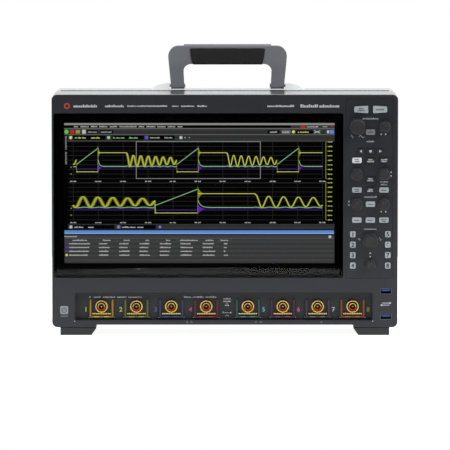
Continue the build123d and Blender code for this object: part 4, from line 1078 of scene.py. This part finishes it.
ROWS = {"key_run_stop": (6.0, 9.0), "key_single": (10.0,), "key_zoom": (6.4,), "key_fine": (6.0, 6.0),
        "key_clear_display": (5.0, 8.6), "key_default_setup": (8.0, 6.4), "key_touch_off": (5.4, 8.6),
        "key_trigger_left": (7.4, 6.0), "key_auto_scale": (5.0, 7.4), "key_trigger_right": (7.0,),
        "key_markers": (7.0,), "key_store_left": (6.4,), "key_store_centre": (7.0,),
        "key_store_right": (7.0, 5.4)}
for seed, (key, widths) in enumerate(ROWS.items()):
    x, z, front = centre_mm(key)
    picture = Print()
    for i, width in enumerate(widths):
        line_z = z + ((len(widths) - 1) / 2 - i) * 2.3
        picture.words(x - width / 2, line_z, (width,), 1.9, seed=130 + 2 * seed + i)
    material = ink_white if key in DARK_KEYS else ink_dark
    picture.lay(key + "_legend", front - INK_LIFT, material, key, "key_light")
for key, turn in (("key_navigate_back", 180), ("key_navigate_play", 0)):
    x, z, front = centre_mm(key)
    Print().arrow(x, z, 2.0, turn).lay(key + "_legend", front - INK_LIFT, ink_white, key, "key_dark")
x, z, front = centre_mm("key_navigate_stop")
stop_sign = Print().bar(x, z, 2.8, 2.8)
stop_sign.lay("key_navigate_stop_legend", front - INK_LIFT, ink_white, "key_navigate_stop", "key_dark")
for n in range(1, 9):
    key = f"key_channel_{n}"
    x, z, front = centre_mm(key)
    number_shape(str(n), x, z, 5.0, front - INK_LIFT, ink_dark, key + "_legend", key, "key_light", 0.05)
x, z, front = centre_mm("key_power")
icon = Print().ring(x, z - 0.3, 2.7, 0.8, start=120, turn=300).bar(x, z + 1.6, 0.8, 3.0)
icon.lay("key_power_legend", front - INK_LIFT, ink_dark, "key_power", "key_light")
power_print = Print().words(x - 4.6, z - 7.6, (9.2,), 1.2, seed=118)
power_print.lay("power_print", -INK_LIFT, ink_soft, "case", "bezel_plastic")

# %% [markdown]
# ## Input bay
# Each input carries a row of gold pads for powered probes, a lamp, two steel latch pins, and the insulator
# and pin inside its socket; the insulator's dark orange-brown is painted shade and reflection, and the pin's
# white tip is a painted highlight. These are turned and pressed parts of a millimetre or two, so they are
# built as small solids in one mesh for each kind.

# %% Small solids
def solids(name, build, material, body, slot=None, bevel=0.0):
    """A piece from a function that adds bmesh shapes, with its sharp edges rounded."""
    bm = bmesh.new()
    build(bm)
    if bevel:
        sharp = [edge for edge in bm.edges if edge.is_manifold and edge.calc_face_angle() > 0.7]
        bmesh.ops.bevel(bm, geom=sharp, offset=bevel * MM, segments=2, affect="EDGES")
    bmesh.ops.recalc_face_normals(bm, faces=bm.faces)
    mesh = bpy.data.meshes.new(name)
    bm.to_mesh(mesh)
    bm.free()
    mesh.materials.append(material)
    mesh.shade_smooth()
    mesh.set_sharp_from_angle(angle=math.radians(35))
    return mount(bpy.data.objects.new(name, mesh), body, slot)


def add_block(bm, x0, x1, d0, d1, z0, z1):
    """A block from its two corners: across, behind the front face, and up."""
    middle = at((x0 + x1) / 2, (d0 + d1) / 2, (z0 + z1) / 2)
    size = Matrix.Diagonal(((x1 - x0) * MM, (d1 - d0) * MM, (z1 - z0) * MM, 1))
    bmesh.ops.create_cube(bm, size=1.0, matrix=Matrix.Translation(middle) @ size)


def add_turned(bm, x, z, profile, sides=32):
    """A solid of revolution about a front-to-back axis, from points of radius and depth."""
    rings = []
    for radius, depth in profile:
        if radius == 0:
            rings.append([bm.verts.new(at(x, depth, z))])
            continue
        angles = [2 * math.pi * i / sides for i in range(sides)]
        circle = [(x + radius * math.cos(a), z + radius * math.sin(a)) for a in angles]
        rings.append([bm.verts.new(at(across, depth, up)) for across, up in circle])
    for a, b in zip(rings, rings[1:]):
        for i in range(sides):
            j = (i + 1) % sides
            corners = [a[i % len(a)], a[j % len(a)], b[j % len(b)], b[i % len(b)]]
            unique = list(dict.fromkeys(corners))
            if len(unique) > 2:
                bm.faces.new(unique)


bay_floor = span_mm("input_panel")[2]
strip_x0, _, strip_front, _, strip_z0, strip_z1 = span_mm("contact_strips")
strip_half = CHANNELS[0][0] - strip_x0
PADS = 11


def contact_pads(bm):
    pitch = 2 * strip_half / PADS
    for x, _ in CHANNELS:
        for i in range(PADS):
            middle = x - strip_half + pitch * (i + 0.5)
            pad = (middle - pitch * 0.36, middle + pitch * 0.36)
            add_block(bm, *pad, strip_front - 0.35, strip_front + 0.5, strip_z0 + 0.35, strip_z1 - 0.35)


solids("contact_pads", contact_pads, contact_gold, "case", "contact_gold", bevel=0.12)

frame_x0, _, frame_front, _, frame_z0, frame_z1 = span_mm("channel_frames")
frame_half = CHANNELS[0][0] - frame_x0


def lamp_bars(bm, x):
    """The two ends of a light pipe in the frame's lower bar."""
    for side in (-1, 1):
        ends = (x + side * 6.2 - 3.2, x + side * 6.2 + 3.2)
        add_block(bm, *ends, frame_front - 0.2, frame_front + 1.0, frame_z0 + 0.6, frame_z0 + 1.8)


for n, (x, _) in enumerate(CHANNELS):
    solids(f"channel_lamp_{n + 1}", lambda bm, x=x: lamp_bars(bm, x), channel_lamps[n], "case",
           "channel_plastic", bevel=0.15)


def latch_pins(bm):
    for x, _ in CHANNELS:
        for side in (-1, 1):
            profile = [(0, bay_floor - 2.2), (0.5, bay_floor - 2.1), (0.8, bay_floor - 1.7), (0.8, bay_floor)]
            add_turned(bm, x + side * (frame_half + 0.9), frame_z0 + 0.2, profile, 16)


solids("latch_pins", latch_pins, bright_steel, "case", "bright_steel")


def insulators(bm):
    for x, z in CHANNELS:
        add_turned(bm, x, z, [(1.3, bay_floor - 1.1), (1.3, bay_floor - 2.8), (3.2, bay_floor - 2.8),
                              (3.5, bay_floor - 2.5), (3.5, bay_floor - 1.1)])


# White tips on the centre pins: a painted highlight.
def pin_tips(bm):
    for x, z in CHANNELS:
        add_turned(bm, x, z, [(0, bay_floor - 6.9), (0.5, bay_floor - 6.8), (0.8, bay_floor - 6.45)], 20)


# The insulators' dark orange-brown is painted shade and reflection, not their own colour.
solids("input_insulators", insulators, insulator_dark, "case", "connector_gold")
solids("input_pin_tips", pin_tips, pin_painted_highlight, "case", "connector_gold")

# %% Numbers and small print in the bay
plates = Print()
for x, _ in CHANNELS:
    plates.area(x - frame_half + 2.0, x + frame_half - 2.0, frame_z0 + 2.0, frame_z1)
plates.lay("input_plates", bay_floor - INK_LIFT, plate_black, "case", "bay_plastic")
for n, (x, z) in enumerate(CHANNELS):
    aside = -20.0 if n < 4 else 20.0
    number_shape(str(n + 1), x + aside, z - 4.3, 5.6, bay_floor - INK_LIFT, number_inks[n],
                 f"input_number_{n + 1}", "case", "bay_plastic")
bay_print = Print().words(-167.2, 47.8, (9.5, 16.0, 12.0, 17.4), 2.0, gap=2.2, seed=170)
bay_print.words(-52.0, 47.8, (9.0, 14.0, 14.4), 2.0, gap=2.0, seed=171)
bay_print.arrow(-172.1, 47.6, 1.5, 90)
loop_x = centre_mm("probe_terminals")[0]
bay_print.lay("bay_print", bay_floor - INK_LIFT, ink_white, "case", "bay_plastic")
probe_print = Print().words(loop_x - 4.6, 45.6, (9.2,), 2.0, seed=172)
probe_print.words(loop_x - 4.6, 42.2, (9.2,), 2.0, seed=173)
probe_print.ring(loop_x, 37.2, 1.9, 0.6, start=0, turn=180, sides=10)
probe_print.words(loop_x - 5.6, 28.0, (11.2,), 2.0, seed=174)
probe_print.ring(loop_x, 22.6, 1.9, 0.6, start=0, turn=180, sides=10)
probe_print.lay("probe_print", bay_floor - INK_LIFT, ink_white, "case", "bay_plastic")

lip_dots = Print()
for x in (-48.3, -42.4, 39.5, 46.0, 123.0):
    lip_dots.ring(x, 16.9, 0.9, 0.5, sides=12)
lip_dots.lay("lip_marks", -INK_LIFT, ink_grey, "case", "bezel_plastic")

# %% Shade strip at the joint, and corner glints
case_x0, case_x1, _, bezel_back, _, case_top = span_mm("front_bezel")


def seal(bm):
    """A dark strip in the joint between bezel and cover, standing just above both: painted shade for the step
    there.
    """
    ends = (case_x0 + 9, case_x1 - 9)
    add_block(bm, *ends, bezel_back - 0.1, bezel_back + 0.5, case_top - 2.2, case_top + 0.45)


solids("seal", seal, socket_black, "case", "bezel_plastic", bevel=0.2)


bay_x0, bay_x1, _, _, bay_z0, _ = span_mm("input_panel")


def corner_studs(bm):
    """Two small bright steel domes in the lower corners of the bay, where the chamfer's corners catch the
    light: painted glints.
    """
    for x in (bay_x0 + 2.2, bay_x1 - 2.2):
        add_turned(bm, x, bay_z0 + 1.8, [(0, -0.5), (0.6, -0.4), (0.9, 0.0), (0.9, 0.6)], 16)


solids("corner_studs", corner_studs, bright_steel, "case", "bright_steel")

# %% USB tongues and sign
usb_x, usb_z, _ = centre_mm("front_usb_ports")
usb_half = (span_mm("front_usb_ports")[5] - span_mm("front_usb_ports")[4]) / 2
SHELL_HALF = 3.7         # half the height of one socket's shell
usb_centres = (usb_z + usb_half - SHELL_HALF, usb_z - usb_half + SHELL_HALF)


def usb_face(x, depth, z, normal):
    """Blue for the tongue's faces, black inside the shell as painted shade, steel on its rim."""
    centre = min(usb_centres, key=lambda c: abs(c - z))
    if abs(x - usb_x) < 5.2 and 0.1 < z - centre < 2.4 and depth > 1.0:
        return 1
    return 2 if depth > 0.5 else 0


# The black inside the USB shells is painted shade.
paint_faces("front_usb_ports", (shell_steel, usb_blue, socket_black), usb_face)
sign = Print()
for side in (1, -1):
    sign_z = usb_z + side * 1.3
    sign.line([(usb_x - 4.6, sign_z), (usb_x + 4.6, sign_z)], 0.8)
    sign.arrow(usb_x + side * 5.4, sign_z, 1.8, 0 if side > 0 else 180)
sign.lay("usb_sign", -INK_LIFT, ink_white, "case", "bezel_plastic")

# %% [markdown]
# ## Knob faces
# The dished face of each knob is turned, which leaves rings. The disc sits in the CAD knob's recess and
# rides with the knob.

# %% Turned discs for the knobs
def turned_face(name, x, z):
    """Dark plastic with fine rings about the knob's own centre."""
    finish = Finish(name, Specular_IOR_Level=0.5)
    across, up = finish.axis("X") - x, finish.axis("Z") - z
    radius = (across * across + up * up) ** 0.5
    rings = (radius * (2 * math.pi / 0.55)).sine() * 0.5 + 0.5
    cloud = finish.noise(5.0, 2.0)
    finish.set(Base_Color=finish.mix(cloud, shade(26, 25, 27), shade(34, 33, 35)))
    finish.set(Roughness=rings * 0.12 + 0.4)
    finish.relief(rings, 0.02)
    return finish.material


for name in [node for node in nodes if node.startswith("knob")]:
    x, z, front = centre_mm(name)
    reach = (span_mm(name)[1] - span_mm(name)[0]) / 2 - 0.9 - 2.5
    material = turned_face(name + "_face", x, z)
    profile = [(0, front + 0.42), (reach * 0.55, front + 0.34), (reach * 0.92, front + 0.12),
               (reach, front + 0.2), (reach, front + 0.6)]
    solids(name + "_disc", lambda bm, x=x, z=z, profile=profile: add_turned(bm, x, z, profile, 48), material,
           name, "knob_plastic")

# %% [markdown]
# ## Back of the instrument
# The sockets behind are steel shells with black insides, and a plate names them. The words are bars
# again. Each face of the port node that lies behind the plate's surface and inside a shell turns dark.

# %% Rear sockets, labels and rating plate
plate_x0, _, _, _, plate_z0, plate_z1 = span_mm("rear_ports")
cover_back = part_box("case_screws")[1].y - 2.2 * MM
back_depth = (cover_back - FACE) / MM


def port_face(x, depth, z, normal):
    """Faces inside the shells are black; the coaxial sockets stay bright."""
    coaxial = x > plate_x0 + 105
    inner = depth < back_depth - 3.2 and depth > back_depth - 14
    return 1 if inner and not coaxial and plate_z0 + 10 < z < plate_z1 - 10 else 0


paint_faces("rear_ports", (port_steel, socket_black), port_face)
back_print = Print(mirror=True)
for offset, width in ((20, 12), (42, 10), (68, 14), (94, 14), (126, 12), (153, 12), (180, 12)):
    back_print.words(plate_x0 + offset - width / 2, plate_z0 + 8, (width,), 1.8, seed=200 + offset)
back_print.lay("port_labels", back_depth - 3.0 + INK_LIFT, ink_dark, "case", "port_steel")
inlet_x, inlet_z, _ = centre_mm("power_inlet")
cover_print = Print(mirror=True).words(inlet_x - 16, inlet_z + 19, (14, 16), 2.2, seed=220)
cover_print.words(plate_x0, plate_z1 + 4.5, (18, 14, 20), 2.4, seed=221)
cover_print.lay("cover_print", back_depth + INK_LIFT, ink_dark, "case", "cover_plastic")
plate = Print(mirror=True).tile(60.0, 90.0, 70.0, 22.0, 2.0)
plate.lay("rating_plate", back_depth + INK_LIFT, silver_label, "case", "cover_plastic")
plate_print = Print(mirror=True)
for i in range(4):
    plate_print.words(29.0, 97.5 - 4.6 * i, (18 - 2 * i, 14 + i, 16), 1.8, seed=230 + i)
plate_print.lay("rating_print", back_depth + 2 * INK_LIFT, ink_dark, "case", "cover_plastic")


# %% [markdown]
# ## Studio
# The instrument stands on a light table in a white studio: a pale floor that also glows from below, so that
# the shadow under the case stays faint. The surroundings are bright behind and above and dark in front, so
# that the dark front stays dark and the top of the case, seen at a flat angle, mirrors the bright wall. The
# stronger of the two front lamps is on the right, and a third hangs above and behind.

# %% Floor, surroundings, lamps
FLOOR_RADIUS = 0.98


def studio_world():
    world = bpy.data.worlds.new("studio")
    bpy.context.scene.world = world
    world.use_nodes = True
    tree = world.node_tree
    background = tree.nodes["Background"]
    direction = tree.nodes.new("ShaderNodeTexCoord")
    split = tree.nodes.new("ShaderNodeSeparateXYZ")
    tree.links.new(direction.outputs["Generated"], split.inputs[0])
    ramp = tree.nodes.new("ShaderNodeMapRange")
    ramp.interpolation_type = "SMOOTHSTEP"
    for socket, value in (("From Min", -0.35), ("From Max", 0.3), ("To Min", 0.03), ("To Max", 1.0)):
        ramp.inputs[socket].default_value = value
    lifted = tree.nodes.new("ShaderNodeMath")
    lifted.operation = "MULTIPLY_ADD"
    tree.links.new(split.outputs["Z"], lifted.inputs[0])
    lifted.inputs[1].default_value = 0.6
    tree.links.new(split.outputs["Y"], lifted.inputs[2])
    tree.links.new(lifted.outputs[0], ramp.inputs["Value"])
    sight = tree.nodes.new("ShaderNodeLightPath")
    seen = tree.nodes.new("ShaderNodeMath")
    seen.operation = "MAXIMUM"
    tree.links.new(ramp.outputs["Result"], seen.inputs[0])
    tree.links.new(sight.outputs["Is Camera Ray"], seen.inputs[1])
    tree.links.new(seen.outputs[0], background.inputs["Strength"])
    background.inputs["Color"].default_value = (1.0, 1.0, 1.0, 1.0)


def studio_floor():
    finish = Finish("studio_floor", Roughness=0.9, Specular_IOR_Level=0.1, Emission_Strength=0.92)
    cloud = finish.noise(300.0, 2.0)
    paint = finish.mix(cloud, (0.5, 0.5, 0.5, 1), (0.54, 0.54, 0.54, 1))
    finish.set(Base_Color=paint, Emission_Color=(1.0, 1.0, 1.0, 1.0))
    bm = bmesh.new()
    bmesh.ops.create_circle(bm, cap_ends=True, radius=FLOOR_RADIUS, segments=96)
    mesh = bpy.data.meshes.new("floor")
    bm.to_mesh(mesh)
    bm.free()
    mesh.materials.append(finish.material)
    floor = bpy.data.objects.new("floor", mesh)
    bpy.context.scene.collection.objects.link(floor)


def lamp(name, place, aim, size, watts):
    light = bpy.data.lights.new(name, "AREA")
    light.shape = "RECTANGLE"
    light.size, light.size_y = size
    light.energy = watts
    made = bpy.data.objects.new(name, light)
    made.location = place
    made.rotation_euler = (Vector(aim) - Vector(place)).to_track_quat("-Z", "Y").to_euler()
    bpy.context.scene.collection.objects.link(made)


studio_world()
studio_floor()
lamp("front_left", (-2.0, -2.4, 1.9), (0, 0, 0.15), (1.4, 1.2), 23)
lamp("front_right", (2.1, -2.1, 2.1), (0, 0, 0.15), (1.2, 1.2), 55)
lamp("overhead", (0.0, 0.9, 2.4), (0, 0, 0.2), (2.4, 1.6), 52)
bpy.context.scene.view_settings.view_transform = "Standard"

# %% [markdown]
# ## Camera
# The view is nearly level: the camera is six metres away with a long lens, a little above the case, so that
# the front is almost flat and only a sliver of the top shows.

# %% Camera
DISTANCE = 6.0
FRAME_WIDTH = 0.5722
camera = bpy.data.objects.new("camera", bpy.data.cameras.new("camera"))
bpy.context.scene.collection.objects.link(camera)
target = at(0.2, 0.0, 141.0)
camera.location = (0.0, FACE - DISTANCE, 0.6745)
sight_line = target - camera.location
camera.rotation_euler = sight_line.to_track_quat("-Z", "Y").to_euler()
camera.data.lens = camera.data.sensor_width / FRAME_WIDTH * sight_line.length
camera.data.clip_end = 100
bpy.context.scene.camera = camera
print("lens, mm:", round(camera.data.lens))
